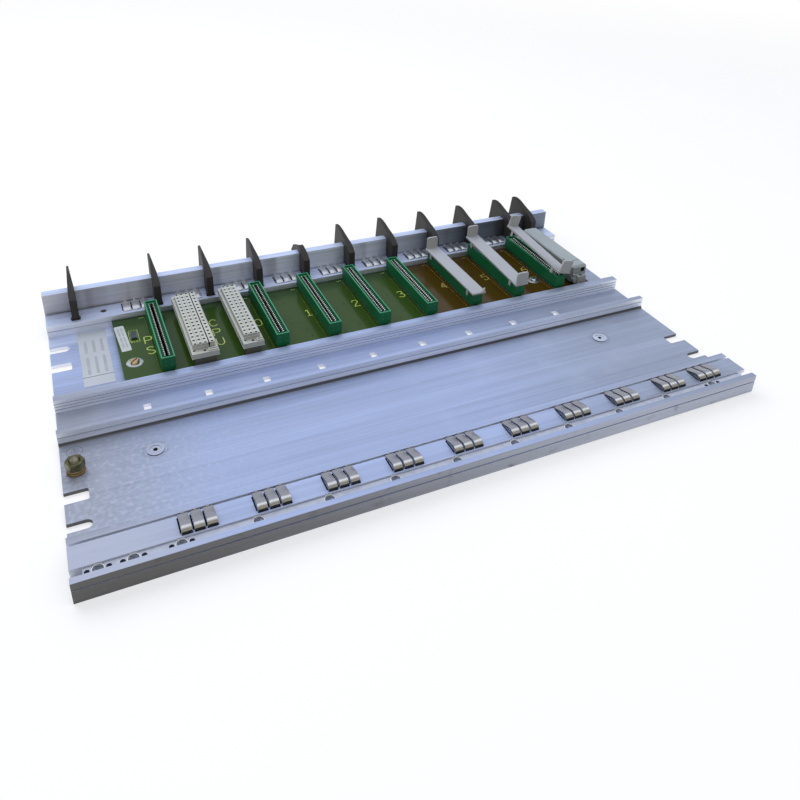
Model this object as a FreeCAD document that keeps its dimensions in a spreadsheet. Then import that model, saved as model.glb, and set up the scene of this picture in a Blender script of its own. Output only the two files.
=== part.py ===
import FreeCAD, Part

import math
import os
from types import SimpleNamespace

import Sketcher

# A subrack for plug-in modules: an extruded aluminium profile that carries a bus board with its
# connectors, guide fins on the rear flange, contact springs on both ledges and a threaded clamp bar.
# X runs along the rack, Y from the front edge to the guide fins, Z up from the mounting face.
# Places along the rack are measured from its left end, places across it from its front edge.

doc = FreeCAD.newDocument("Subrack")

# Profile section
SECTION_SIZES = {
    "rack_width": 482.6,
    "plate_thickness": 2.5,
    "front_flange_height": 15.5,
    "front_lip_width": 4.3,
    "channel_opening": 6.7,
    "channel_wall": 2.3,
    "channel_cavity_width": 10.3,
    "channel_floor": 4.5,
    "channel_cavity_height": 6.5,
    "spring_ledge_width": 16.6,
    "spring_ledge_height": 13.7,
    "hook_groove_width": 1.8,
    "hook_groove_depth": 7.7,
    "rim_width": 5.1,
    "front_deck_width": 92.9,
    "rib_height": 12.8,
    "ridge_width": 4.3,
    "ridge_foot_run": 1.2,
    "ridge_foot_rise": 2.0,
    "middle_deck_width": 31.7,
    "middle_rail_width": 6.5,
    "rear_deck_width": 92.9,
    "rear_ledge_width": 18.5,
    "flange_gap_width": 1.5,
    "flange_gap_depth": 4.8,
    "rear_flange_thickness": 2.5,
    "rear_flange_height": 30.5,
    "rear_lip_width": 5.0,
    "rear_lip_thickness": 2.5,
    "chamber_wall": 2.4,
    "edge_chamfer": 0.8,
    "wall_groove_depth": 0.6,
    "wall_groove_height": 0.9,
    "front_groove_level": 10.2,
    "ridge_groove_level": 9.0,
    "rail_flute_level": 5.2,
    "rail_flute_pitch": 2.4,
    "board_groove_level": 8.0,
}

# Openings cut in the profile
OPENING_SIZES = {
    "end_slot_reach": 14.4,
    "end_slot_spacing": 190.5,
    "end_slot_shift": 2.6,
    "end_slot_width": 7.2,
    "handle_slot_spacing": 140.7,
    "handle_slot_width": 9.8,
    "handle_slot_corner": 1.5,
    "module_pitch": 43.18,
    "latch_hole_first": 59.1,
    "latch_hole_width": 5.1,
    "latch_hole_length": 8.0,
    "latch_hole_setback": 16.1,
    "ledge_hole_place": 43.8,
    "ledge_hole_setback": 10.3,
    "ledge_hole_diameter": 5.0,
    "ledge_hole_depth": 4.8,
}

# Guide fins on the rear flange
FIN_SIZES = {
    "left_fin_place": 22.3,
    "supply_bay_width": 64.9,
    "processor_bay_width": 43.3,
    "last_fin_margin": 25.6,
    "slot_reserve": 49.0,
    "fin_tail_thickness": 1.2,
    "fin_setback": 4.2,
    "fin_front_drop": 0.2,
    "fin_brow_run": 8.0,
    "fin_brow_rise": 5.1,
    "fin_crest_run": 16.9,
    "fin_crest_rise": 7.9,
    "fin_shoulder_run": 26.0,
    "fin_shoulder_rise": 11.9,
    "fin_tip_run": 41.8,
    "fin_tip_rise": 10.5,
    "fin_back_radius": 20.0,
    "fin_peak_rise": 12.8,
    "fin_peak_thickness": 0.8,
    "fin_tail_run": 45.7,
    "fin_tail_height": 6.2,
    "fin_clearance": 0.2,
    "post_width": 5.6,
    "post_depth": 4.0,
    "post_foot": 3.5,
    "post_slot_clearance": 0.9,
    "broken_fin_notch_run": 24.0,
    "broken_fin_notch_rise": 3.9,
    "broken_fin_knee_run": 38.0,
    "broken_fin_knee_drop": 1.7,
    "broken_fin_tail_rise": 1.4,
}

# Contact springs
SPRING_SIZES = {
    "spring_to_fin": 18.1,
    "last_spring_margin": 33.4,
    "last_upper_spring_margin": 37.7,
    "finger_width": 5.8,
    "finger_pitch": 7.25,
    "finger_thickness": 0.4,
    "finger_foot": 0.55,
    "finger_tail": 1.2,
    "hook_depth": 3.2,
    "spine_height": 1.5,
    "slit_clearance": 0.3,
    "slit_depth": 1.6,
    "lower_spring_setback": 1.2,
    "lower_spring_rise": 3.5,
    "upper_spring_setback": 3.2,
    "upper_spring_rise": 1.9,
}

# Clamp bar in the front channel
BAR_SIZES = {
    "bar_end_gap": 6.5,
    "bar_clearance": 0.15,
    "bar_top_clearance": 0.5,
    "bar_neck_rise": 2.1,
    "bar_neck_clearance": 0.2,
    "bar_hole_diameter": 5.0,
    "bar_recess_diameter": 7.4,
    "bar_recess_depth": 1.2,
    "bar_pin_hole_diameter": 3.0,
    "bar_pin_hole_offset": 5.6,
    "bar_end_hole_place": 14.2,
    "bar_second_hole_place": 32.4,
    "bar_module_hole_place": 57.9,
}

# Bus board and what lies on it
BOARD_SIZES = {
    "board_left": 48.2,
    "board_right_margin": 21.6,
    "board_joint_gap": 0.4,
    "board_edge_gap": 0.3,
    "board_thickness": 1.6,
    "insulator_thickness": 4.2,
    "insulator_margin": 2.0,
    "board_screw_setback": 27.0,
    "left_screw_inset": 9.6,
    "right_screw_to_slot": 11.5,
    "screw_shank_diameter": 3.0,
    "screw_head_diameter": 7.0,
    "screw_head_height": 2.2,
    "screw_hole_clearance": 0.2,
    "screw_slot_width": 1.0,
    "screw_slot_depth": 1.1,
    "sticker_inset": 5.1,
    "sticker_rear_gap": 30.2,
    "sticker_width": 7.5,
    "sticker_length": 37.5,
    "sticker_turn": 3.4,
    "label_thickness": 0.2,
    "nameplate_left": 20.8,
    "nameplate_width": 21.6,
    "nameplate_setback": 16.3,
    "nameplate_rear_gap": 1.1,
}

# Connectors
CONNECTOR_SIZES = {
    "connector_setback": 7.6,
    "connector_width": 10.0,
    "connector_height": 14.7,
    "connector_foot_height": 3.7,
    "connector_foot_width": 5.8,
    "connector_front_gap": 3.0,
    "connector_rear_gap": 3.7,
    "connector_rim": 0.9,
    "connector_recess": 1.4,
    "contact_slot_width": 2.2,
    "contact_slot_margin": 3.6,
    "contact_slot_depth": 9.0,
    "wide_socket_to_fin": 19.3,
    "wide_socket_width": 16.4,
    "narrow_socket_to_fin": 12.4,
    "narrow_socket_width": 12.2,
    "socket_base_margin": 1.9,
    "socket_foot_inset": 0.5,
    "socket_foot_setback": 1.2,
    "socket_foot_height": 9.1,
    "socket_base_height": 13.1,
    "socket_height": 17.7,
    "socket_end_step": 5.2,
    "socket_end_gap": 1.6,
    "socket_hole_width": 1.9,
    "socket_hole_depth": 3.0,
    "socket_row_pitch": 5.08,
    "socket_column_pitch": 3.8,
    "socket_row_margin": 1.2,
    "socket_column_margin": 1.9,
    "socket_groove_width": 0.8,
    "socket_groove_depth": 2.5,
}

# Dust covers and the interface cap
COVER_SIZES = {
    "cover_width": 12.8,
    "cover_thickness": 1.6,
    "cover_front_overhang": 2.4,
    "cover_rear_overhang": 2.4,
    "tab_width": 11.0,
    "tab_thickness": 1.6,
    "tab_height": 11.3,
    "tab_corner": 2.0,
    "clip_leg_width": 3.0,
    "clip_leg_thickness": 0.9,
    "clip_leg_length": 5.0,
    "clip_leg_clearance": 0.2,
    "clip_leg_inset": 9.0,
    "stub_width": 3.2,
    "stub_height": 3.4,
    "second_cover_tilt": 3.4,
    "third_cover_tilt": 3.6,
    "third_cover_roll": 13.0,
    "third_cover_shift": 1.1,
    "third_cover_drop": 1.7,
    "interface_margin": 33.6,
    "interface_width": 11.0,
    "interface_rear_gap": 2.9,
    "interface_height": 12.0,
    "interface_front_gap": 11.0,
    "cap_clearance": 0.2,
    "cap_wall": 2.3,
    "cap_bottom": 2.0,
    "cap_top": 18.2,
    "cap_rear_radius": 4.0,
    "cap_chamfer": 1.2,
    "hood_width": 9.0,
    "hood_length": 6.0,
    "hood_height": 8.0,
    "hood_hole": 3.0,
}

# Earth terminal and the raised discs on the front deck
TERMINAL_SIZES = {
    "stud_place": 8.8,
    "stud_setback": 65.5,
    "stud_diameter": 6.0,
    "stud_height": 10.3,
    "washer_diameter": 11.8,
    "washer_thickness": 1.6,
    "spring_washer_diameter": 11.3,
    "spring_washer_thickness": 1.8,
    "nut_width": 10.5,
    "nut_height": 5.2,
    "thread_clearance": 0.05,
    "disc_left_place": 57.3,
    "disc_right_margin": 65.8,
    "disc_setback": 66.7,
    "disc_diameter": 11.6,
    "disc_hole_diameter": 3.0,
    "disc_thickness": 0.6,
    "disc_dish_diameter": 7.6,
    "disc_dish_depth": 0.3,
}

SIZE_GROUPS = (
    SECTION_SIZES,
    OPENING_SIZES,
    FIN_SIZES,
    SPRING_SIZES,
    BAR_SIZES,
    BOARD_SIZES,
    CONNECTOR_SIZES,
    COVER_SIZES,
    TERMINAL_SIZES,
)

# Counts that no length sets
SPRING_FINGERS = 3
LAST_UPPER_FINGERS = 2
COVERED_SLOTS = 3
JOINT_SLOT = 3
BROKEN_FIN = 4


class Size:
    """A length together with the formula on the size sheet that drives it."""

    def __init__(self, value, formula):
        self.value = value
        self.formula = formula

    def __add__(self, other):
        other = as_size(other)
        return Size(self.value + other.value, f"({self.formula} + {other.formula})")

    def __radd__(self, other):
        return as_size(other) + self

    def __sub__(self, other):
        other = as_size(other)
        return Size(self.value - other.value, f"({self.formula} - {other.formula})")

    def __rsub__(self, other):
        return as_size(other) - self

    def __mul__(self, other):
        other = as_size(other)
        return Size(self.value * other.value, f"({self.formula} * {other.formula})")

    def __rmul__(self, other):
        return as_size(other) * self

    def __truediv__(self, other):
        other = as_size(other)
        return Size(self.value / other.value, f"({self.formula} / {other.formula})")

    def __neg__(self):
        return Size(-self.value, f"(0 - {self.formula})")


def as_size(number):
    """Take a plain number or a Size as a Size."""
    if isinstance(number, Size):
        return number
    return Size(float(number), f"{float(number):g}")


def write_size_sheet():
    """Put every driving size on the sheet and return them by name."""
    sheet = doc.addObject("Spreadsheet::Sheet", "Sizes")
    sizes = {}
    row = 0
    for group in SIZE_GROUPS:
        for name, value in group.items():
            row += 1
            sheet.set(f"A{row}", name.replace("_", " "))
            sheet.set(f"B{row}", str(value))
            sheet.setAlias(f"B{row}", name)
            sizes[name] = Size(value, f"Sizes.{name}")
    doc.recompute()
    return SimpleNamespace(**sizes)


mm = write_size_sheet()
ZERO = as_size(0)

# Stations across the section, from the front edge to the rear
channel_end = mm.front_lip_width + mm.channel_opening
cavity_end = mm.channel_wall + mm.channel_cavity_width
cavity_top = mm.channel_floor + mm.channel_cavity_height
groove_start = channel_end + mm.spring_ledge_width
rim_start = groove_start + mm.hook_groove_width
front_deck_start = rim_start + mm.rim_width
ridge_start = front_deck_start + mm.front_deck_width
ridge_end = ridge_start + mm.ridge_width
rail_start = ridge_end + mm.middle_deck_width
rail_end = rail_start + mm.middle_rail_width
rear_ledge_start = rail_end + mm.rear_deck_width
gap_start = rear_ledge_start + mm.rear_ledge_width
flange_start = gap_start + mm.flange_gap_width
flange_end = flange_start + mm.rear_flange_thickness
rack_depth = flange_end + mm.rear_lip_width
deck_top = mm.plate_thickness
board_top = deck_top + mm.insulator_thickness + mm.board_thickness
fin_front = rear_ledge_start + mm.fin_setback
screw_line = rail_end + mm.board_screw_setback
connector_length = mm.rear_deck_width - mm.connector_front_gap - mm.connector_rear_gap
cover_length = connector_length + mm.cover_front_overhang + mm.cover_rear_overhang
connector_top = board_top + mm.connector_height

left_end = -mm.rack_width / 2
front_edge = -rack_depth / 2

# Places along the rack: as many module slots as the width has room for
supply_fin = mm.left_fin_place + mm.supply_bay_width
first_fin = supply_fin + mm.processor_bay_width
slot_room = mm.rack_width - first_fin - mm.slot_reserve
module_slots = int(slot_room.value / mm.module_pitch.value)
pitched_fins = [first_fin + mm.module_pitch * step for step in range(module_slots + 1)]
fin_places = [mm.left_fin_place, supply_fin] + pitched_fins + [mm.rack_width - mm.last_fin_margin]
supply_place = supply_fin - mm.connector_setback
slot_places = [place - mm.connector_setback for place in pitched_fins[1:]]
wide_socket_place = supply_fin + mm.wide_socket_to_fin
narrow_socket_place = first_fin + mm.narrow_socket_to_fin
interface_place = mm.rack_width - mm.interface_margin
spring_places = [place - mm.spring_to_fin for place in [supply_fin] + pitched_fins]
last_spring_place = mm.rack_width - mm.last_spring_margin
last_upper_spring_place = mm.rack_width - mm.last_upper_spring_margin
board_right = mm.rack_width - mm.board_right_margin
board_joint = slot_places[JOINT_SLOT]
screw_places = [
    mm.board_left + mm.left_screw_inset,
    slot_places[-1] - mm.right_screw_to_slot,
]
disc_places = [mm.disc_left_place, mm.rack_width - mm.disc_right_margin]

sub_parts = []


# Building aids

def drive(item, property_name, size):
    """Bind one property of an object to the size sheet."""
    item.setExpression(property_name, as_size(size).formula)


def place_in_rack(item, along, across, height):
    """Set an object down at a place measured from the rack's left end and front edge."""
    drive(item, "Placement.Base.x", left_end + along)
    drive(item, "Placement.Base.y", front_edge + across)
    drive(item, "Placement.Base.z", height)


def new_body(label, along, across, height):
    """Start the body of a sub-part."""
    body = doc.addObject("PartDesign::Body", "Body")
    body.Label = label
    body.AllowCompound = True
    place_in_rack(body, along, across, height)
    sub_parts.append(body)
    return body


def new_sketch(body, plane, offset=ZERO):
    """Start a sketch on one of the body's own planes, moved along its normal by an offset."""
    support = [item for item in body.Origin.OriginFeatures if item.Role == plane][0]
    sketch = body.newObject("Sketcher::SketchObject", "Sketch")
    sketch.AttachmentSupport = [(support, "")]
    sketch.MapMode = "FlatFace"
    if offset.value:
        drive(sketch, "AttachmentOffset.Base.z", offset)
    return sketch


def coordinate_rule(kind, edge, end, size):
    """The constraint and formula that hold one coordinate of a corner at its size."""
    if size.formula == ZERO.formula:
        axis = -2 if kind == "DistanceX" else -1
        return Sketcher.Constraint("PointOnObject", edge, end, axis), None
    return Sketcher.Constraint(kind, -1, 1, edge, end, size.value), size.formula


def add_rules(sketch, rules):
    """Add constraints to a sketch and bind those that carry a formula."""
    indices = sketch.addConstraint([constraint for constraint, _ in rules])
    for index, (_, formula) in zip(indices, rules):
        if formula:
            sketch.setExpression(f"Constraints[{index}]", formula)


def arc_between(start, finish, radius):
    """The short arc between two points; a positive radius has its centre on the left."""
    run = finish - start
    half = run.Length / 2
    reach = math.sqrt(max(radius * radius - half * half, 0))
    side = FreeCAD.Vector(-run.y, run.x, 0).normalize() * (reach if radius > 0 else -reach)
    centre = start + run * 0.5 + side
    circle = Part.Circle(centre, FreeCAD.Vector(0, 0, 1), abs(radius))
    first, last = (start, finish) if radius > 0 else (finish, start)
    return Part.ArcOfCircle(circle, circle.parameter(first), circle.parameter(last))


def draw_loop(sketch, corners):
    """Draw a closed outline. A corner is (x, y), or (x, y, radius) where an arc leaves it."""
    count = len(corners)
    sizes = [(as_size(corner[0]), as_size(corner[1])) for corner in corners]
    points = [FreeCAD.Vector(x.value, y.value, 0) for x, y in sizes]
    bends = [as_size(corner[2]) if len(corner) > 2 else None for corner in corners]
    edges = []
    for index, bend in enumerate(bends):
        start = points[index]
        finish = points[(index + 1) % count]
        shape = arc_between(start, finish, bend.value) if bend else Part.LineSegment(start, finish)
        turned = bend is not None and bend.value < 0
        edges.append((sketch.addGeometry(shape, False), 2 if turned else 1, 1 if turned else 2))
    rules = []
    for index, (edge, begin, end) in enumerate(edges):
        following, following_begin, _ = edges[(index + 1) % count]
        joint = Sketcher.Constraint("Coincident", edge, end, following, following_begin)
        rules.append((joint, None))
        if bends[index]:
            bend = bends[index] if bends[index].value > 0 else -bends[index]
            rules.append((Sketcher.Constraint("Radius", edge, bend.value), bend.formula))
    for index, (edge, begin, _) in enumerate(edges):
        x, y = sizes[index]
        last_x, last_y = sizes[index - 1]
        straight = index > 0 and bends[index - 1] is None
        if straight and x.formula == last_x.formula:
            rules.append((Sketcher.Constraint("Vertical", edges[index - 1][0]), None))
        else:
            rules.append(coordinate_rule("DistanceX", edge, begin, x))
        if straight and y.formula == last_y.formula:
            rules.append((Sketcher.Constraint("Horizontal", edges[index - 1][0]), None))
        else:
            rules.append(coordinate_rule("DistanceY", edge, begin, y))
    add_rules(sketch, rules)


def draw_rectangle(sketch, left, bottom, right, top):
    """Draw an upright rectangle between two corners."""
    draw_loop(sketch, [(left, bottom), (right, bottom), (right, top), (left, top)])


def draw_circle(sketch, x, y, diameter):
    """Draw a circle by its centre and diameter."""
    x = as_size(x)
    y = as_size(y)
    centre = FreeCAD.Vector(x.value, y.value, 0)
    circle = Part.Circle(centre, FreeCAD.Vector(0, 0, 1), diameter.value / 2)
    edge = sketch.addGeometry(circle, False)
    add_rules(sketch, [
        coordinate_rule("DistanceX", edge, 3, x),
        coordinate_rule("DistanceY", edge, 3, y),
        (Sketcher.Constraint("Diameter", edge, diameter.value), diameter.formula),
    ])


def pad(body, sketch, length):
    """Extrude a sketch along its normal."""
    feature = body.newObject("PartDesign::Pad", "Pad")
    feature.Profile = sketch
    drive(feature, "Length", length)
    return feature


def pocket(body, sketch, depth):
    """Cut a sketch against its normal."""
    feature = body.newObject("PartDesign::Pocket", "Pocket")
    feature.Profile = sketch
    drive(feature, "Length", depth)
    return feature


def repeat(body, feature, axis, pitch, count):
    """Repeat a feature along one of the body's axes."""
    line = [item for item in body.Origin.OriginFeatures if item.Role == axis][0]
    pattern = body.newObject("PartDesign::LinearPattern", "LinearPattern")
    pattern.Originals = [feature]
    pattern.Direction = (line, [""])
    pattern.Occurrences = count
    drive(pattern, "Length", pitch * (count - 1))
    body.Tip = pattern
    return pattern


def hollow_out(body, outline, level, depth):
    """Cut rectangles (left, front, right, rear) down into a body from a level."""
    sketch = new_sketch(body, "XY_Plane", level)
    for left, front, right, rear in outline:
        draw_rectangle(sketch, left, front, right, rear)
    return pocket(body, sketch, depth)


def edges_at_level(feature, level):
    """Names of the edges of a feature that lie flat at one level of its body."""
    doc.recompute()
    names = []
    for number, edge in enumerate(feature.Shape.Edges, start=1):
        if all(abs(vertex.Z - level.value) < 1e-6 for vertex in edge.Vertexes):
            names.append(f"Edge{number}")
    return names


def turn_about(body, axis, angle):
    """Turn a placed body by an angle in degrees about an axis through its own origin."""
    body.Placement.Rotation = FreeCAD.Rotation(axis, angle.value)
    drive(body, "Placement.Rotation.Angle", angle)


# Mounting profile

def wall_groove(wall, level):
    """Corners of a fine groove in a wall that faces the front, from its top to its bottom."""
    top = level + mm.wall_groove_height / 2
    bottom = level - mm.wall_groove_height / 2
    deep = wall + mm.wall_groove_depth
    return [(wall, top), (deep, top), (deep, bottom), (wall, bottom)]


def section_outline():
    """Outline of the extruded section, counterclockwise from the front bottom edge."""
    lip_bottom = mm.rear_flange_height - mm.rear_lip_thickness
    gap_floor = mm.rib_height - mm.flange_gap_depth
    groove_floor = mm.spring_ledge_height - mm.hook_groove_depth
    rail_flutes = []
    for step in (2, 1, 0):
        rail_flutes += wall_groove(rail_start, mm.rail_flute_level + mm.rail_flute_pitch * step)
    outline = [(mm.edge_chamfer, ZERO), (flange_end, ZERO), (flange_end, lip_bottom)]
    outline += [(rack_depth, lip_bottom), (rack_depth, mm.rear_flange_height)]
    outline += [(flange_start, mm.rear_flange_height), (flange_start, gap_floor)]
    outline += [(gap_start, gap_floor), (gap_start, mm.rib_height)]
    outline += [(rear_ledge_start, mm.rib_height)]
    outline += wall_groove(rear_ledge_start, mm.board_groove_level)
    outline += [(rear_ledge_start, deck_top), (rail_end, deck_top), (rail_end, mm.rib_height)]
    outline += [(rail_start, mm.rib_height)]
    outline += rail_flutes
    outline += [(rail_start, deck_top), (ridge_end, deck_top), (ridge_end, mm.rib_height)]
    outline += [(ridge_start, mm.rib_height)]
    outline += wall_groove(ridge_start, mm.ridge_groove_level)
    outline += [(ridge_start, deck_top + mm.ridge_foot_rise)]
    outline += [(ridge_start - mm.ridge_foot_run, deck_top), (front_deck_start, deck_top)]
    outline += [(front_deck_start, mm.spring_ledge_height), (rim_start, mm.spring_ledge_height)]
    outline += [(rim_start, groove_floor), (groove_start, groove_floor)]
    outline += [(groove_start, mm.spring_ledge_height), (channel_end, mm.spring_ledge_height)]
    outline += [(channel_end, cavity_top), (cavity_end, cavity_top)]
    outline += [(cavity_end, mm.channel_floor), (mm.channel_wall, mm.channel_floor)]
    outline += [(mm.channel_wall, cavity_top), (mm.front_lip_width, cavity_top)]
    outline += [(mm.front_lip_width, mm.front_flange_height), (ZERO, mm.front_flange_height)]
    outline += wall_groove(ZERO, mm.front_groove_level)
    outline += [(ZERO, mm.edge_chamfer)]
    return outline


def end_slot_loops():
    """Outlines of the slots in both ends: rounded rack screw slots and square handle slots."""
    loops = []
    overshoot = 1.0
    slot_middle = rack_depth / 2 + mm.end_slot_shift
    for side in (-1, 1):
        middle = slot_middle + mm.end_slot_spacing * (0.5 * side)
        half = mm.end_slot_width / 2
        low = middle - half
        high = middle + half
        inner = mm.end_slot_reach - half
        far_inner = mm.rack_width - inner
        far_open = mm.rack_width + overshoot
        far_tip = mm.rack_width - mm.end_slot_reach
        left = [(-overshoot, low), (inner, low, half), (mm.end_slot_reach, middle, half)]
        left += [(inner, high), (-overshoot, high)]
        right = [(far_open, high), (far_inner, high, half), (far_tip, middle, half)]
        right += [(far_inner, low), (far_open, low)]
        loops += [left, right]
        middle = slot_middle + mm.handle_slot_spacing * (0.5 * side)
        half = mm.handle_slot_width / 2
        low = middle - half
        high = middle + half
        bend = mm.handle_slot_corner
        reach = mm.end_slot_reach
        far_reach = mm.rack_width - reach
        left = [(-overshoot, low), (reach - bend, low, bend), (reach, low + bend)]
        left += [(reach, high - bend, bend), (reach - bend, high), (-overshoot, high)]
        right = [(far_open, high), (far_reach + bend, high, bend), (far_reach, high - bend)]
        right += [(far_reach, low + bend, bend), (far_reach + bend, low), (far_open, low)]
        loops += [left, right]
    return loops


def spring_slits(place, fingers, front):
    """Rectangles of the slits that take the front ends of one spring's fingers."""
    span = mm.finger_pitch * (fingers - 1) + mm.finger_width
    rear = front + mm.finger_foot + mm.slit_clearance
    slits = []
    for finger in range(fingers):
        left = place - span / 2 + mm.finger_pitch * finger
        right = left + mm.finger_width + mm.slit_clearance
        slits.append((left - mm.slit_clearance, front - mm.slit_clearance, right, rear))
    return slits


def cut_spring_slits(body, front, level, last_place, last_fingers):
    """Cut the slits of one row of springs: the first, those at the module pitch and the last."""
    hollow_out(body, spring_slits(spring_places[0], SPRING_FINGERS, front), level, mm.slit_depth)
    row = hollow_out(body, spring_slits(spring_places[1], SPRING_FINGERS, front), level, mm.slit_depth)
    repeat(body, row, "X_Axis", mm.module_pitch, len(spring_places) - 1)
    hollow_out(body, spring_slits(last_place, last_fingers, front), level, mm.slit_depth)


def make_mounting_profile():
    """The extruded aluminium profile with its slots, holes and spring slits."""
    body = new_body("mounting_profile", ZERO, ZERO, ZERO)
    section = new_sketch(body, "YZ_Plane")
    draw_loop(section, section_outline())
    front_wall = cavity_end + mm.chamber_wall
    front_roof = mm.spring_ledge_height - mm.chamber_wall
    draw_rectangle(section, front_wall, deck_top, groove_start - mm.chamber_wall, front_roof)
    rear_wall = rear_ledge_start + mm.chamber_wall
    rear_roof = mm.rib_height - mm.chamber_wall
    draw_rectangle(section, rear_wall, deck_top, gap_start - mm.chamber_wall, rear_roof)
    pad(body, section, mm.rack_width)

    slots = new_sketch(body, "XY_Plane", deck_top)
    for loop in end_slot_loops():
        draw_loop(slots, loop)
    pocket(body, slots, mm.plate_thickness)

    latch_rear = rail_start - mm.latch_hole_setback + mm.latch_hole_length / 2
    latch_front = latch_rear - mm.latch_hole_length
    latch_left = mm.latch_hole_first - mm.latch_hole_width / 2
    latch_right = latch_left + mm.latch_hole_width
    latch = hollow_out(
        body, [(latch_left, latch_front, latch_right, latch_rear)], deck_top, mm.plate_thickness
    )
    repeat(body, latch, "X_Axis", mm.module_pitch, module_slots + 2)

    post_half = mm.post_width / 2 + mm.post_slot_clearance
    post_slots = [
        (
            place - post_half,
            fin_front - mm.post_slot_clearance,
            place + post_half,
            fin_front + mm.post_depth + mm.post_slot_clearance,
        )
        for place in fin_places
    ]
    hollow_out(body, post_slots, mm.rib_height, mm.post_foot + mm.post_slot_clearance)

    lower_front = channel_end + mm.lower_spring_setback
    lower_level = mm.spring_ledge_height
    cut_spring_slits(body, lower_front, lower_level, last_spring_place, SPRING_FINGERS)
    upper_front = rear_ledge_start + mm.upper_spring_setback
    upper_last = last_upper_spring_place
    cut_spring_slits(body, upper_front, mm.rib_height, upper_last, LAST_UPPER_FINGERS)

    ledge_hole = new_sketch(body, "XY_Plane", mm.rib_height)
    ledge_hole_line = rear_ledge_start + mm.ledge_hole_setback
    draw_circle(ledge_hole, mm.ledge_hole_place, ledge_hole_line, mm.ledge_hole_diameter)
    pocket(body, ledge_hole, mm.ledge_hole_depth)


# Clamp bar

def make_clamp_bar():
    """The threaded bar in the front channel, with a neck that rises into the channel's opening."""
    across = mm.channel_wall + mm.bar_clearance
    body = new_body("clamp_bar", mm.bar_end_gap, across, mm.channel_floor)
    width = mm.channel_cavity_width - mm.bar_clearance * 2
    length = mm.rack_width - mm.bar_end_gap * 2
    shoulder = mm.channel_cavity_height - mm.bar_top_clearance
    thickness = shoulder + mm.bar_neck_rise
    holes = module_slots + 3
    neck_front = mm.front_lip_width + mm.bar_neck_clearance - across
    neck_rear = channel_end - mm.bar_neck_clearance - across
    section = new_sketch(body, "YZ_Plane")
    draw_loop(section, [
        (ZERO, ZERO),
        (width, ZERO),
        (width, shoulder),
        (neck_rear, shoulder),
        (neck_rear, thickness),
        (neck_front, thickness),
        (neck_front, shoulder),
        (ZERO, shoulder),
    ])
    pad(body, section, length)
    line = mm.front_lip_width + mm.channel_opening / 2 - across
    first = mm.bar_module_hole_place - mm.bar_end_gap
    end_places = [mm.bar_end_hole_place - mm.bar_end_gap, mm.bar_second_hole_place - mm.bar_end_gap]

    def bore(places, diameter, depth):
        sketch = new_sketch(body, "XY_Plane", thickness)
        for place in places:
            draw_circle(sketch, place, line, diameter)
        return pocket(body, sketch, depth)

    bore(end_places, mm.bar_hole_diameter, thickness)
    bore(end_places, mm.bar_recess_diameter, mm.bar_recess_depth)
    hole = bore([first], mm.bar_hole_diameter, thickness)
    repeat(body, hole, "X_Axis", mm.module_pitch, holes)
    recess = bore([first], mm.bar_recess_diameter, mm.bar_recess_depth)
    repeat(body, recess, "X_Axis", mm.module_pitch, holes)
    last = first + mm.module_pitch * (holes - 1)
    pins = []
    for place in end_places + [first, last]:
        pins += [place - mm.bar_pin_hole_offset, place + mm.bar_pin_hole_offset]
    bore(pins, mm.bar_pin_hole_diameter, thickness)


# Bus boards, insulator and labels

def make_board(label, left, right, screw_place):
    """One circuit board that lies on the insulator, with a hole for its screw."""
    front = rail_end + mm.board_edge_gap
    body = new_body(label, left, front, deck_top + mm.insulator_thickness)
    outline = new_sketch(body, "XY_Plane")
    depth = mm.rear_deck_width - mm.board_edge_gap * 2
    draw_rectangle(outline, ZERO, ZERO, right - left, depth)
    hole = mm.screw_shank_diameter + mm.screw_hole_clearance
    draw_circle(outline, screw_place - left, screw_line - front, hole)
    pad(body, outline, mm.board_thickness)


def make_board_insulator():
    """The insulating sheet between the boards and the profile."""
    left = mm.board_left + mm.insulator_margin
    right = board_right - mm.insulator_margin
    front = rail_end + mm.insulator_margin
    rear = rear_ledge_start - mm.insulator_margin
    body = new_body("board_insulator", left, front, deck_top)
    outline = new_sketch(body, "XY_Plane")
    draw_rectangle(outline, ZERO, ZERO, right - left, rear - front)
    for place in screw_places:
        hole = mm.screw_shank_diameter + mm.screw_hole_clearance
        draw_circle(outline, place - left, screw_line - front, hole)
    pad(body, outline, mm.insulator_thickness)


def make_board_screws():
    """Two slotted screws that hold the boards down."""
    body = new_body("board_screws", ZERO, screw_line, board_top)
    heads = new_sketch(body, "XY_Plane")
    for place in screw_places:
        draw_circle(heads, place, ZERO, mm.screw_head_diameter)
    pad(body, heads, mm.screw_head_height)
    shank_length = mm.insulator_thickness + mm.board_thickness
    shanks = new_sketch(body, "XY_Plane", -shank_length)
    for place in screw_places:
        draw_circle(shanks, place, ZERO, mm.screw_shank_diameter)
    pad(body, shanks, shank_length)
    half_width = mm.screw_slot_width / 2
    slots = [
        (place - mm.screw_head_diameter, -half_width, place + mm.screw_head_diameter, half_width)
        for place in screw_places
    ]
    hollow_out(body, slots, mm.screw_head_height, mm.screw_slot_depth)


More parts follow.
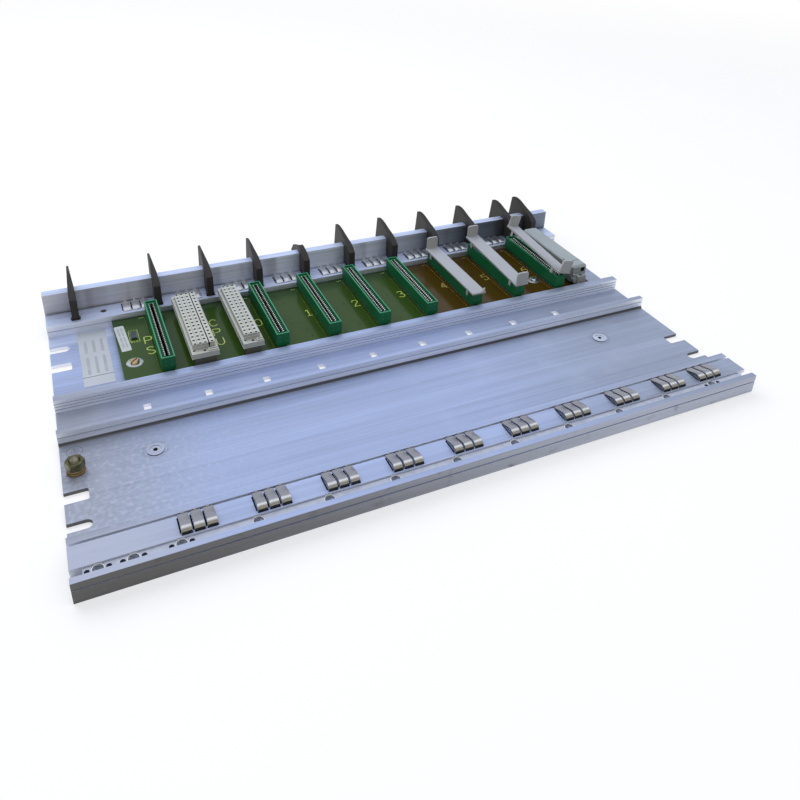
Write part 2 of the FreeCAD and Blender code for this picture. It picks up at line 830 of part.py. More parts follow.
def make_labels():
    """The bare nameplate on the rear deck and the bare sticker on the board."""
    nameplate = doc.addObject("Part::Box", "Box")
    nameplate.Label = "nameplate"
    drive(nameplate, "Length", mm.nameplate_width)
    nameplate_length = mm.rear_deck_width - mm.nameplate_setback - mm.nameplate_rear_gap
    drive(nameplate, "Width", nameplate_length)
    drive(nameplate, "Height", mm.label_thickness)
    place_in_rack(nameplate, mm.nameplate_left, rail_end + mm.nameplate_setback, deck_top)
    sticker_line = rear_ledge_start - mm.sticker_rear_gap
    body = new_body("board_sticker", mm.board_left + mm.sticker_inset, sticker_line, board_top)
    outline = new_sketch(body, "XY_Plane")
    half_width = mm.sticker_width / 2
    half_length = mm.sticker_length / 2
    draw_rectangle(outline, -half_width, -half_length, half_width, half_length)
    pad(body, outline, mm.label_thickness)
    turn_about(body, FreeCAD.Vector(0, 0, 1), mm.sticker_turn)
    sub_parts.append(nameplate)


# Connectors

def make_slot_connector(label, place):
    """A long two-row connector on a narrow foot, with a raised rim and a contact slot."""
    across = rail_end + mm.connector_front_gap
    body = new_body(label, place, across, board_top)
    foot_half = mm.connector_foot_width / 2
    foot = new_sketch(body, "XY_Plane")
    draw_rectangle(foot, -foot_half, ZERO, foot_half, connector_length)
    pad(body, foot, mm.connector_foot_height)
    half = mm.connector_width / 2
    outline = new_sketch(body, "XY_Plane", mm.connector_foot_height)
    draw_rectangle(outline, -half, ZERO, half, connector_length)
    pad(body, outline, mm.connector_height - mm.connector_foot_height)
    rim = mm.connector_rim
    recess = (-half + rim, rim, half - rim, connector_length - rim)
    hollow_out(body, [recess], mm.connector_height, mm.connector_recess)
    margin = mm.contact_slot_margin
    slot_half = mm.contact_slot_width / 2
    slot = (-slot_half, margin, slot_half, connector_length - margin)
    hollow_out(body, [slot], mm.connector_height, mm.contact_slot_depth)


def make_processor_connector(label, place, body_width, outer_column):
    """A tall pin connector with end flanges on a foot, and three or four columns of contact holes."""
    length = mm.rear_deck_width - mm.socket_end_gap * 2
    body = new_body(label, place, rail_end + mm.socket_end_gap, board_top)
    body_half = body_width / 2
    foot_half = body_half - mm.socket_foot_inset
    base_half = body_half + mm.socket_base_margin
    for half, front, bottom, top in (
        (foot_half, mm.socket_foot_setback, ZERO, mm.socket_foot_height),
        (base_half, ZERO, mm.socket_foot_height, mm.socket_base_height),
        (body_half, mm.socket_end_step, mm.socket_base_height, mm.socket_height),
    ):
        tier = new_sketch(body, "XY_Plane", bottom)
        draw_rectangle(tier, -half, front, half, length - front)
        pad(body, tier, top - bottom)
    row_room = length - mm.socket_end_step * 2 - mm.socket_row_margin * 2
    rows = int(row_room.value / mm.socket_row_pitch.value) + 1
    first_row = (length - mm.socket_row_pitch * (rows - 1)) / 2
    first_column = mm.socket_column_margin - body_half
    columns = [first_column + mm.socket_column_pitch * step for step in range(3)]
    if outer_column:
        outer = body_half - mm.socket_column_margin
        groove = (columns[-1] + outer - mm.socket_groove_width) / 2
        groove_right = groove + mm.socket_groove_width
        groove_box = (groove, mm.socket_end_step, groove_right, length - mm.socket_end_step)
        hollow_out(body, [groove_box], mm.socket_height, mm.socket_groove_depth)
        columns.append(outer)
    hole_half = mm.socket_hole_width / 2
    holes = [
        (column - hole_half, first_row - hole_half, column + hole_half, first_row + hole_half)
        for column in columns
    ]
    row = hollow_out(body, holes, mm.socket_height, mm.socket_hole_depth)
    repeat(body, row, "Y_Axis", mm.socket_row_pitch, rows)


def interface_length():
    """Length of the interface connector between its gaps to the rail and the rear ledge."""
    return mm.rear_deck_width - mm.interface_front_gap - mm.interface_rear_gap


def make_interface_connector():
    """The connector beneath the interface cap."""
    across = rail_end + mm.interface_front_gap
    body = new_body("interface_connector", interface_place, across, board_top)
    half = mm.interface_width / 2
    outline = new_sketch(body, "XY_Plane")
    draw_rectangle(outline, -half, ZERO, half, interface_length())
    pad(body, outline, mm.interface_height)


def make_interface_cap():
    """The long cap over the interface connector, with a hood at its front end."""
    across = rail_end + mm.interface_front_gap - mm.cap_wall - mm.cap_clearance
    body = new_body("interface_cap", interface_place, across, board_top)
    half = mm.interface_width / 2 + mm.cap_clearance + mm.cap_wall
    length = interface_length() + (mm.cap_wall + mm.cap_clearance) * 2
    bend = mm.cap_rear_radius
    outline = new_sketch(body, "XY_Plane", mm.cap_bottom)
    draw_loop(outline, [
        (-half, ZERO),
        (half, ZERO),
        (half, length - bend, bend),
        (half - bend, length),
        (bend - half, length, bend),
        (-half, length - bend),
    ])
    pad(body, outline, mm.cap_top - mm.cap_bottom)
    hood = new_sketch(body, "XZ_Plane")
    hood_half = mm.hood_width / 2
    draw_rectangle(hood, -hood_half, mm.cap_bottom, hood_half, mm.cap_bottom + mm.hood_height)
    pad(body, hood, mm.hood_length)
    hole_half = mm.hood_hole / 2
    hood_top = mm.cap_bottom + mm.hood_height
    hood_middle = mm.hood_length / 2
    opening = (-hole_half, -hood_middle - hole_half, hole_half, hole_half - hood_middle)
    hollow_out(body, [opening], hood_top, mm.hood_height)
    inner_half = half - mm.cap_wall
    cavity = (-inner_half, mm.cap_wall, inner_half, length - mm.cap_wall)
    shell = hollow_out(body, [cavity], mm.interface_height, mm.interface_height - mm.cap_bottom)
    crown = body.newObject("PartDesign::Chamfer", "Chamfer")
    crown.Base = (shell, edges_at_level(shell, mm.cap_top))
    drive(crown, "Size", mm.cap_chamfer)


# Dust covers

def tab_outline(sketch):
    """Outline of an upturned end tab with rounded top corners."""
    half = mm.tab_width / 2
    top = mm.cover_thickness + mm.tab_height
    bend = mm.tab_corner
    draw_loop(sketch, [
        (-half, ZERO),
        (half, ZERO),
        (half, top - bend, bend),
        (half - bend, top),
        (bend - half, top, bend),
        (-half, top - bend),
    ])


def make_dust_cover(label, place, front_tab):
    """A push-on strip over a slot connector, with end tabs and side clip legs."""
    across = rail_end + mm.connector_front_gap - mm.cover_front_overhang
    body = new_body(label, place, across, connector_top)
    half = mm.cover_width / 2
    strip = new_sketch(body, "XY_Plane")
    draw_rectangle(strip, -half, ZERO, half, cover_length)
    pad(body, strip, mm.cover_thickness)
    rear = new_sketch(body, "XZ_Plane", -cover_length)
    tab_outline(rear)
    pad(body, rear, mm.tab_thickness)
    front = new_sketch(body, "XZ_Plane", -mm.tab_thickness)
    if front_tab:
        tab_outline(front)
    else:
        right = mm.tab_width / 2
        stub_left = right - mm.stub_width
        stub_base = mm.cover_thickness
        outline = [(stub_left, ZERO), (right, ZERO), (right, stub_base + mm.stub_height)]
        draw_loop(front, outline + [(stub_left, stub_base)])
    pad(body, front, mm.tab_thickness)
    inner = mm.connector_width / 2 + mm.clip_leg_clearance
    outer = inner + mm.clip_leg_thickness
    legs = new_sketch(body, "XY_Plane", -mm.clip_leg_length)
    leg_middle = mm.clip_leg_inset + mm.clip_leg_width / 2
    for middle in (leg_middle, cover_length - leg_middle):
        front_side = middle - mm.clip_leg_width / 2
        rear_side = middle + mm.clip_leg_width / 2
        draw_rectangle(legs, -outer, front_side, -inner, rear_side)
        draw_rectangle(legs, inner, front_side, outer, rear_side)
    pad(body, legs, mm.clip_leg_length)
    return body


def make_dust_covers():
    """Three covers: one seated with its front tab broken off and two that have come loose."""
    seated, lifted, rolled = range(module_slots - COVERED_SLOTS, module_slots)
    make_dust_cover(f"dust_cover_{seated}", slot_places[seated], False)
    cover = make_dust_cover(f"dust_cover_{lifted}", slot_places[lifted], True)
    turn_about(cover, FreeCAD.Vector(1, 0, 0), mm.second_cover_tilt)
    place = slot_places[rolled] + mm.third_cover_shift
    cover = make_dust_cover(f"dust_cover_{rolled}", place, True)
    lift = mm.clip_leg_length - mm.third_cover_drop
    drive(cover, "Placement.Base.z", connector_top + lift)
    drive(cover, "Placement.Rotation.Roll", mm.third_cover_tilt)
    drive(cover, "Placement.Rotation.Pitch", mm.third_cover_roll)


# Guide fins

def make_guide_fin(index, place):
    """A blade that straddles the rear flange and thins out to its tail, with a post in front."""
    body = new_body(f"guide_fin_{index}", place, fin_front, mm.rib_height)
    post_half = mm.post_width / 2
    tail_half = mm.fin_tail_thickness / 2
    peak_half = mm.fin_peak_thickness / 2
    flange_face = flange_start - fin_front - mm.fin_clearance
    lip_face = rack_depth - fin_front + mm.fin_clearance
    flange_top = mm.rear_flange_height - mm.rib_height
    front_height = flange_top - mm.fin_front_drop
    blade = new_sketch(body, "YZ_Plane", -post_half)
    outline = [(ZERO, ZERO), (gap_start - fin_front, ZERO), (flange_face, mm.fin_clearance)]
    outline += [(flange_face, flange_top)]
    outline += [(lip_face, flange_top), (lip_face, mm.fin_tail_height)]
    outline += [(mm.fin_tail_run, mm.fin_tail_height)]
    if index == BROKEN_FIN:
        outline += [(mm.fin_tail_run, mm.fin_tail_height + mm.broken_fin_tail_rise)]
        outline += [(mm.broken_fin_knee_run, flange_top - mm.broken_fin_knee_drop)]
        outline += [(mm.broken_fin_notch_run, flange_top + mm.broken_fin_notch_rise)]
    else:
        outline += [(mm.fin_tip_run, front_height + mm.fin_tip_rise, mm.fin_back_radius)]
        outline += [(mm.fin_shoulder_run, front_height + mm.fin_shoulder_rise)]
    outline += [(mm.fin_crest_run, front_height + mm.fin_crest_rise)]
    outline += [(mm.fin_brow_run, front_height + mm.fin_brow_rise), (ZERO, front_height)]
    draw_loop(blade, outline)
    pad(body, blade, mm.post_width)

    # The flanks start above the arc of the back, which rises over the shoulder
    brow = front_height + mm.fin_brow_rise
    above = front_height + mm.fin_shoulder_rise + mm.fin_tip_run - mm.fin_shoulder_run
    flanks = new_sketch(body, "XY_Plane", above)
    slopes = new_sketch(body, "XZ_Plane")
    for side in (-1, 1):
        draw_loop(flanks, [
            (post_half * side, mm.post_depth),
            (mm.post_width * side, mm.post_depth),
            (mm.post_width * side, mm.fin_tail_run),
            (tail_half * side, mm.fin_tail_run),
        ])
        draw_loop(slopes, [
            (post_half * side, brow),
            (mm.post_width * side, brow),
            (mm.post_width * side, above),
            (peak_half * side, above),
            (peak_half * side, front_height + mm.fin_peak_rise),
        ])
    pocket(body, flanks, above)
    pocket(body, slopes, mm.fin_tail_run)
    post = new_sketch(body, "XY_Plane", -mm.post_foot)
    draw_rectangle(post, -post_half, ZERO, post_half, mm.post_depth)
    pad(body, post, mm.post_foot + front_height)


# Contact springs

def make_contact_spring(label, place, across, level, ledge_width, setback, rise, fingers):
    """A comb of arched fingers: front ends in slits, rear ends on a spine hooked over the edge."""
    fingers_span = mm.finger_pitch * (fingers - 1) + mm.finger_width
    body = new_body(label, place - fingers_span / 2, across, level)
    span = ledge_width - setback + mm.finger_foot
    inner_span = span - mm.finger_foot * 2
    inner_rise = rise - mm.finger_thickness
    outer_radius = (span * span / 4 + rise * rise) / (rise * 2)
    inner_radius = (inner_span * inner_span / 4 + inner_rise * inner_rise) / (inner_rise * 2)
    profile = new_sketch(body, "YZ_Plane")
    draw_loop(profile, [
        (ZERO, -mm.finger_tail),
        (mm.finger_foot, -mm.finger_tail),
        (mm.finger_foot, ZERO, -inner_radius),
        (span - mm.finger_foot, ZERO),
        (span - mm.finger_foot, -mm.hook_depth),
        (span, -mm.hook_depth),
        (span, ZERO, outer_radius),
        (ZERO, ZERO),
    ])
    finger = pad(body, profile, mm.finger_width)
    repeat(body, finger, "X_Axis", mm.finger_pitch, fingers)
    spine = new_sketch(body, "YZ_Plane")
    hook_left = span - mm.finger_foot
    draw_rectangle(spine, hook_left, -mm.hook_depth, span, mm.spine_height - mm.hook_depth)
    pad(body, spine, fingers_span)


def make_contact_springs():
    """Both rows of contact springs, along the front and the rear ledge."""
    full = [(place, SPRING_FINGERS) for place in spring_places]
    lower = full + [(last_spring_place, SPRING_FINGERS)]
    upper = full + [(last_upper_spring_place, LAST_UPPER_FINGERS)]
    for index, (place, fingers) in enumerate(lower):
        make_contact_spring(
            f"lower_spring_{index}", place, channel_end + mm.lower_spring_setback,
            mm.spring_ledge_height, mm.spring_ledge_width, mm.lower_spring_setback,
            mm.lower_spring_rise, fingers,
        )
    for index, (place, fingers) in enumerate(upper):
        make_contact_spring(
            f"upper_spring_{index}", place, rear_ledge_start + mm.upper_spring_setback,
            mm.rib_height, mm.rear_ledge_width, mm.upper_spring_setback,
            mm.upper_spring_rise, fingers,
        )


# Earth terminal and deck discs

def make_ring(label, height, diameter, thickness):
    """A washer on the earth stud."""
    body = new_body(label, mm.stud_place, front_deck_start + mm.stud_setback, height)
    outline = new_sketch(body, "XY_Plane")
    draw_circle(outline, ZERO, ZERO, diameter)
    draw_circle(outline, ZERO, ZERO, mm.stud_diameter + mm.thread_clearance * 2)
    pad(body, outline, thickness)


def make_earth_terminal():
    """The earth stud with its washers and hexagon nut."""
    across = front_deck_start + mm.stud_setback
    stud = new_body("earth_stud", mm.stud_place, across, deck_top)
    shank = new_sketch(stud, "XY_Plane")
    draw_circle(shank, ZERO, ZERO, mm.stud_diameter)
    pad(stud, shank, mm.stud_height)
    make_ring("earth_washer", deck_top, mm.washer_diameter, mm.washer_thickness)
    spring_level = deck_top + mm.washer_thickness
    make_ring("earth_spring_washer", spring_level, mm.spring_washer_diameter, mm.spring_washer_thickness)
    nut_level = spring_level + mm.spring_washer_thickness
    nut = new_body("earth_nut", mm.stud_place, across, nut_level)
    flats = new_sketch(nut, "XY_Plane")
    half = mm.nut_width / 2
    corner = mm.nut_width / math.sqrt(3)
    draw_loop(flats, [
        (corner, ZERO),
        (corner / 2, half),
        (-corner / 2, half),
        (-corner, ZERO),
        (-corner / 2, -half),
        (corner / 2, -half),
    ])
    draw_circle(flats, ZERO, ZERO, mm.stud_diameter + mm.thread_clearance * 2)
    pad(nut, flats, mm.nut_height)


def make_deck_discs():
    """Two dished discs with a hole, on the front deck."""
    line = front_deck_start + mm.disc_setback
    body = new_body("deck_discs", ZERO, line, deck_top)
    discs = new_sketch(body, "XY_Plane")
    dishes = new_sketch(body, "XY_Plane", mm.disc_thickness)
    for place in disc_places:
        draw_circle(discs, place, ZERO, mm.disc_diameter)
        draw_circle(discs, place, ZERO, mm.disc_hole_diameter)
        draw_circle(dishes, place, ZERO, mm.disc_dish_diameter)
    pad(body, discs, mm.disc_thickness)
    pocket(body, dishes, mm.disc_dish_depth)


# Build and write every sub-part

make_mounting_profile()
make_clamp_bar()
make_board_insulator()
make_board("backplane_board", mm.board_left, board_joint, screw_places[0])
make_board("extension_board", board_joint + mm.board_joint_gap, board_right, screw_places[1])
make_board_screws()
make_labels()
make_slot_connector("supply_connector", supply_place)
for slot, slot_place in enumerate(slot_places):
    make_slot_connector(f"slot_connector_{slot}", slot_place)
make_processor_connector("wide_socket", wide_socket_place, mm.wide_socket_width, True)
make_processor_connector("narrow_socket", narrow_socket_place, mm.narrow_socket_width, False)
make_interface_connector()
make_interface_cap()
make_dust_covers()
for fin_index, fin_place in enumerate(fin_places):
    make_guide_fin(fin_index, fin_place)
make_contact_springs()
make_earth_terminal()
make_deck_discs()

doc.recompute()
for item in doc.Objects:
    if "Invalid" in item.State or "Error" in item.State:
        raise RuntimeError(f"{item.Label} did not build: {item.State}")
    if item.TypeId == "PartDesign::Pocket" and item.Shape.Volume >= item.BaseFeature.Shape.Volume:
        raise RuntimeError(f"{item.Label} cuts nothing")
for item in sub_parts:
    if item.Shape.isNull() or not item.Shape.isValid():
        raise RuntimeError(f"{item.Label} has no valid shape")

os.makedirs("parts", exist_ok=True)
for item in sub_parts:
    item.Shape.exportStep(f"parts/{item.Label}.step")
    print(item.Label, len(item.Shape.Solids), round(item.Shape.Volume, 1))
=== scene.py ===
# Looks of a subrack for plug-in modules: an aluminium profile that carries a bus board with its
# connectors, guide fins, contact springs and a clamp bar. Pieces are in millimetres, places inside
# shaders in metres, both from the middle of the rack. Rack places start at its front left corner.

import logging
import math
import random
from dataclasses import dataclass
from enum import Enum
from typing import Callable, Iterable, Sequence, Union

import bmesh
import bpy
from mathutils import Matrix, Vector

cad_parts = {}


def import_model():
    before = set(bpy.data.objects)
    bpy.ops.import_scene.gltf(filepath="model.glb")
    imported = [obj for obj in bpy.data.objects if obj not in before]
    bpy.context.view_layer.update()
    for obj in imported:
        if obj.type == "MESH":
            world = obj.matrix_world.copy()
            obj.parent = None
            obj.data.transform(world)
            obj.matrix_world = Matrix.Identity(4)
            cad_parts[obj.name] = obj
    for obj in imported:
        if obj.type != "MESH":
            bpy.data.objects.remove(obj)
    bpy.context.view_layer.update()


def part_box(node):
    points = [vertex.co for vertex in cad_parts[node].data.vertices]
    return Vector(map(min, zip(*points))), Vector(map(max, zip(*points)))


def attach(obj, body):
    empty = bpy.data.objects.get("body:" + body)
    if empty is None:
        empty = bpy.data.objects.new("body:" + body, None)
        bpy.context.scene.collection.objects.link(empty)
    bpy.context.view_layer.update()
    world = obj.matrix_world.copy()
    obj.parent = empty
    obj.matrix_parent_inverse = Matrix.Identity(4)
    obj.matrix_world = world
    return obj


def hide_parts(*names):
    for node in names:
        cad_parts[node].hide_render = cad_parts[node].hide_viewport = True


MM = 0.001
RACK_WIDTH = 482.6
RACK_DEPTH = 290.3
SIDES = (-1, 1)
NO_LENGTH = 1e-6

Colour = tuple[float, float, float]
Point = tuple[float, float, float]
Spot = tuple[float, float]
Key = Union[int, str]
Verts = Sequence[bmesh.types.BMVert]
Materials = dict[str, bpy.types.Material]

log = logging.getLogger("subrack")


def node_box(name: str) -> tuple[Vector, Vector]:
    """Give the lowest and the highest corner of a CAD node in millimetres."""
    low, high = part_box(name)
    return low / MM, high / MM


def rack(x: float, y: float) -> Spot:
    """Turn a rack place into one from the rack's middle."""
    return x - RACK_WIDTH / 2, y - RACK_DEPTH / 2


def around(centre: Spot, radius: float, angle: float) -> Spot:
    """Give the place at a radius and an angle in radians from a centre."""
    return centre[0] + radius * math.cos(angle), centre[1] + radius * math.sin(angle)


def put(name: str, data: bpy.types.ID) -> bpy.types.Object:
    """Link a new object into the scene."""
    item = bpy.data.objects.new(name, data)
    bpy.context.scene.collection.objects.link(item)
    return item


# Shaders


def arithmetic(operation: str, swapped: bool = False) -> Callable[..., "Wire"]:
    """Make a method that adds one Math node to a wire's node tree.

    Args:
        operation: The Math node's operation.
        swapped: Whether the wire is the node's second input.

    Returns:
        The method.
    """
    def method(wire: "Wire", other: object = 0.0) -> "Wire":
        """Add the node."""
        first, second = (other, wire) if swapped else (wire, other)
        return wire.bench.node("ShaderNodeMath", {"operation": operation}, {0: first, 1: second})

    return method


class Wire:
    """A shader socket that takes part in Python arithmetic."""

    __add__ = arithmetic("ADD")
    __radd__ = arithmetic("ADD", swapped=True)
    __sub__ = arithmetic("SUBTRACT")
    __rsub__ = arithmetic("SUBTRACT", swapped=True)
    __mul__ = arithmetic("MULTIPLY")
    __rmul__ = arithmetic("MULTIPLY", swapped=True)
    __truediv__ = arithmetic("DIVIDE")
    size = arithmetic("ABSOLUTE")
    at_least = arithmetic("MAXIMUM")

    def __init__(self, bench: "Bench", socket: bpy.types.NodeSocket) -> None:
        """Hold one output socket of a bench's node tree."""
        self.bench = bench
        self.socket = socket

    def step_up(self, start: float, end: float) -> "Wire":
        """Rise smoothly from 0 to 1 between two values."""
        settings = {"interpolation_type": "SMOOTHSTEP"}
        values = {"Value": self, "From Min": start, "From Max": end}
        return self.bench.node("ShaderNodeMapRange", settings, values)

    def step_down(self, start: float, end: float) -> "Wire":
        """Fall smoothly from 1 to 0 between two values."""
        return 1 - self.step_up(start, end)

    def band(self, rise: Spot, fall: Spot) -> "Wire":
        """Give 1 between a soft rise and a soft fall."""
        return self.step_up(*rise) * self.step_down(*fall)


class Bench:
    """One material's or world's node tree."""

    def __init__(self, owner: Union[bpy.types.Material, bpy.types.World]) -> None:
        """Clear the owner's node tree for new nodes."""
        owner.use_nodes = True
        self.tree = owner.node_tree
        self.tree.nodes.clear()

    def node(self, kind: str, settings: dict, values: dict, output: Key = 0) -> Wire:
        """Add a node.

        Args:
            kind: The node's type.
            settings: Properties that are set first, and a ramp's "stops".
            values: Numbers, colours or wires of the inputs, by name or number.
            output: The name or number of the wanted output.

        Returns:
            The wanted output.
        """
        node = self.tree.nodes.new(kind)
        for key, value in settings.items():
            if key == "stops":
                self.set_stops(node.color_ramp, value)
            else:
                setattr(node, key, value)
        for key, value in values.items():
            socket = self.pick(node.inputs, key)
            if isinstance(value, Wire):
                self.tree.links.new(value.socket, socket)
            elif isinstance(value, tuple) and socket.type == "RGBA":
                socket.default_value = (*value, 1.0)
            else:
                socket.default_value = value
        return Wire(self, self.pick(node.outputs, output))

    @staticmethod
    def pick(sockets: bpy.types.bpy_prop_collection, key: Key) -> bpy.types.NodeSocket:
        """Find a socket by its number, or by the name of one that is in use."""
        if isinstance(key, int):
            return sockets[key]
        return next(socket for socket in sockets if socket.name == key and socket.enabled)

    @staticmethod
    def set_stops(ramp: bpy.types.ColorRamp, stops: Sequence[tuple[float, Colour]]) -> None:
        """Give a ramp its stops."""
        while len(ramp.elements) < len(stops):
            ramp.elements.new(1.0)
        for element, (place, colour) in zip(ramp.elements, stops):
            element.position = place
            element.color = (*colour, 1.0)

    def place(self) -> Wire:
        """Give the surface's place in the row frame."""
        return self.node("ShaderNodeTexCoord", {}, {}, "Object")

    def axes(self, vector: Wire) -> list[Wire]:
        """Split a vector into its three values."""
        split = self.node("ShaderNodeSeparateXYZ", {}, {0: vector})
        return [Wire(self, output) for output in split.socket.node.outputs]

    def normal(self) -> list[Wire]:
        """Give the three values of the surface's normal."""
        return self.axes(self.node("ShaderNodeNewGeometry", {}, {}, "Normal"))

    def facing_up(self, start: float, end: float) -> Wire:
        """Give 1 where the surface faces straight up or down, with a soft edge."""
        return self.normal()[2].size().step_up(start, end)

    def noise(self, scale: float, detail: float) -> Wire:
        """Add noise, one grain per 1/scale metres."""
        values = {"Vector": self.place(), "Scale": scale, "Detail": detail}
        return self.node("ShaderNodeTexNoise", {}, values)

    def streaks(self, scale: Point, detail: float) -> Wire:
        """Add noise that is stretched by three factors."""
        vector = self.node("ShaderNodeMapping", {}, {"Vector": self.place(), "Scale": scale})
        values = {"Vector": vector, "Scale": 1.0, "Detail": detail}
        return self.node("ShaderNodeTexNoise", {}, values)

    def away(self, operation: str, inputs: dict) -> Wire:
        """Measure a length or a distance of vectors."""
        return self.node("ShaderNodeVectorMath", {"operation": operation}, inputs, "Value")

    def coat(self, base: object, *coats: tuple[object, object]) -> Wire:
        """Lay colours over a base, each by its share from 0 to 1."""
        for share, colour in coats:
            values = {"Factor": share, "A": base, "B": colour}
            base = self.node("ShaderNodeMix", {"data_type": "RGBA"}, values, "Result")
        return base

    def dim(self, colour: object, factor: Wire) -> Wire:
        """Scale a colour by a value."""
        values = {0: colour, "Scale": factor}
        return self.node("ShaderNodeVectorMath", {"operation": "SCALE"}, values)

    def relief(self, height: Wire, strength: float, distance: float) -> Wire:
        """Turn a height into a bumped normal, with the distance in millimetres."""
        values = {"Height": height, "Strength": strength, "Distance": distance * MM}
        return self.node("ShaderNodeBump", {}, values)

    def close(self, shader: Wire, kind: str = "ShaderNodeOutputMaterial") -> None:
        """Lead a shader to an output node."""
        output = self.tree.nodes.new(kind)
        self.tree.links.new(shader.socket, output.inputs["Surface"])

    def surface(self, base: Wire, roughness: Wire, normal: Wire, rest: dict) -> None:
        """Finish with a Principled surface."""
        values = {"Base Color": base, "Roughness": roughness, "Normal": normal, **rest}
        self.close(self.node("ShaderNodeBsdfPrincipled", {}, values))


@dataclass(frozen=True)
class Finish:
    """A material by its name."""

    name: str

    def make(self) -> bpy.types.Material:
        """Build the material."""
        material = bpy.data.materials.new(self.name)
        self.paint(Bench(material))
        return material

    def paint(self, bench: Bench) -> None:
        """Add the material's nodes."""
        raise NotImplementedError


@dataclass(frozen=True)
class Extrusion(Finish):
    """Mill-finish aluminium: draw lines along the rack and handling marks, with painted light: pale
    tops and painted shade on the outer walls.
    """

    # Painted light: the top, wall, inner-wall and flange colours below are lit and shaded copies of one
    # aluminium.
    top: Colour
    shaded_left_wall: Colour
    lit_right_wall: Colour
    oxide: Colour
    lit_inner_wall: Colour
    shaded_right_top: Colour
    roughness: float
    stained: bool = False
    front_left_top: Colour = (0.4, 0.41, 0.45)
    lit_rear_top: Colour = (0.66, 0.74, 0.94)
    lit_flange_left: Colour = (0.6, 0.59, 0.62)
    lit_flange_middle: Colour = (0.82, 0.86, 0.96)
    shaded_flange_right: Colour = (0.22, 0.25, 0.31)
    ring_stain: Colour = (0.2, 0.2, 0.24)
    painted_fin_reflection: Colour = (0.13, 0.1, 0.08)
    dirt_and_crease_shade: Colour = (0.05, 0.046, 0.04)
    flange_start: Spot = (0.117, 0.121)
    disc_places: Spot = (-0.184, 0.1755)

    def paint(self, bench: Bench) -> None:
        """Colour walls, flange and decks with painted light and shade, then add wear, stains and dirt,
        a painted reflection of the fins and a painted shade crease.
        """
        drawn = bench.streaks((6.0, 420.0, 420.0), 4.0)
        broad = bench.streaks((2.0, 55.0, 55.0), 2.0)
        cloud = bench.noise(22.0, 4.0)
        speck = bench.noise(420.0, 2.0)
        x, y, z = bench.axes(bench.place())
        # Faces that look up take the pale sky-lit top colour, the rest a wall colour: painted light.
        up = bench.facing_up(0.35, 0.8)
        behind = y.step_up(*self.flange_start)
        inside = y.band((-0.14, -0.136), self.flange_start)
        # Painted light on the rear flange's face: grey at the left, bright in the middle, shaded at the
        # right.
        flange = bench.coat(self.lit_flange_left, (x.step_up(-0.22, -0.06), self.lit_flange_middle),
                            (x.step_up(0.02, 0.16), self.shaded_flange_right))
        # Painted shade on the outer walls, darkest at the left; the inner walls are painted lighter.
        wall = bench.coat(self.shaded_left_wall, (x.step_up(-0.22, 0.16), self.lit_right_wall),
                          (inside, self.lit_inner_wall), (behind, flange))
        # The top turns greyer at the front left.
        worn = x.step_down(-0.235, -0.14) * y.step_down(0.02, 0.04)
        # Painted light on the decks: greyer to the right, brighter on the rear ledge.
        top = bench.coat(self.top, (x.step_up(0.02, 0.2), self.shaded_right_top),
                         (worn * 0.8, self.front_left_top), (y.step_up(0.1, 0.106), self.lit_rear_top))
        base = bench.coat(wall, (up, top))
        base = bench.dim(base, 0.525 + 0.5 * drawn + 0.35 * broad + 0.1 * cloud)
        rubbed = cloud.step_up(0.52, 0.72) * 0.2
        if self.stained:
            near = x.step_down(-0.21, -0.06) * y.band((-0.13, -0.1), (-0.05, 0.0))
            bloom = bench.noise(330.0, 8.0).step_up(0.42, 0.72) * near
            ledge = x.step_down(-0.22, -0.14) * y.step_down(-0.118, -0.112)
            rubbed = rubbed.at_least(bloom * 0.5).at_least(ledge * 0.6)
            # Painted reflection: dark blurred streaks on the rear flange's face stand in for the fins
            # mirrored in it.
            blur = bench.streaks((46.0, 1.0, 4.0), 2.0).step_up(0.52, 0.7)
            base = bench.coat(base, (self.rings(bench) * up * 0.3, self.ring_stain),
                              (blur * behind * (1 - up) * 0.4, self.painted_fin_reflection))
        grime = bench.noise(60.0, 5.0).step_up(0.58, 0.75) * (1 - up)
        grime = grime * (1 - inside) * (1 - behind) * 0.55
        # Painted shade: a dark crease along the foot of the ridge's wall, laid in the wall dirt's
        # colour.
        ridge = inside * y.step_down(-0.012, -0.008)
        crease = z.step_down(0.0042, 0.0052) * (1 - up) * ridge * 0.9
        base = bench.coat(base, (rubbed * up, self.oxide), (grime.at_least(crease), self.dirt_and_crease_shade))
        rough = self.roughness + 0.14 * cloud + 0.1 * speck + 0.12 * rubbed
        bump = bench.relief(drawn * 0.7 + speck * 0.3, 0.35, 0.05)
        bench.surface(base, rough, bump, {"Metallic": 0.82})

    def rings(self, bench: Bench) -> Wire:
        """Give the faint stains around the two discs, from 0 to 1."""
        radius, line = 0.0078, 0.0013
        share = 0.0
        for x in self.disc_places:
            away = bench.away("DISTANCE", {0: bench.place(), 1: (x, -0.04395, 0.0025)})
            share = (1 - ((away - radius) / line).size()).at_least(share)
        return share


@dataclass(frozen=True)
class Plating(Finish):
    """A plated or bare metal with tarnish and fine handling marks."""

    colour: Colour
    tarnish: Colour
    roughness: float
    tarnished: float
    grain: float = 260.0

    def paint(self, bench: Bench) -> None:
        """Cloud the metal with tarnish."""
        fine = bench.noise(self.grain * 9, 2.0)
        share = bench.noise(self.grain, 4.0).step_up(0.4, 0.7) * self.tarnished
        bench.surface(bench.coat(self.colour, (share, self.tarnish)),
                      self.roughness + 0.16 * share + 0.08 * fine,
                      bench.relief(fine, 0.15, 0.03), {"Metallic": 0.95})


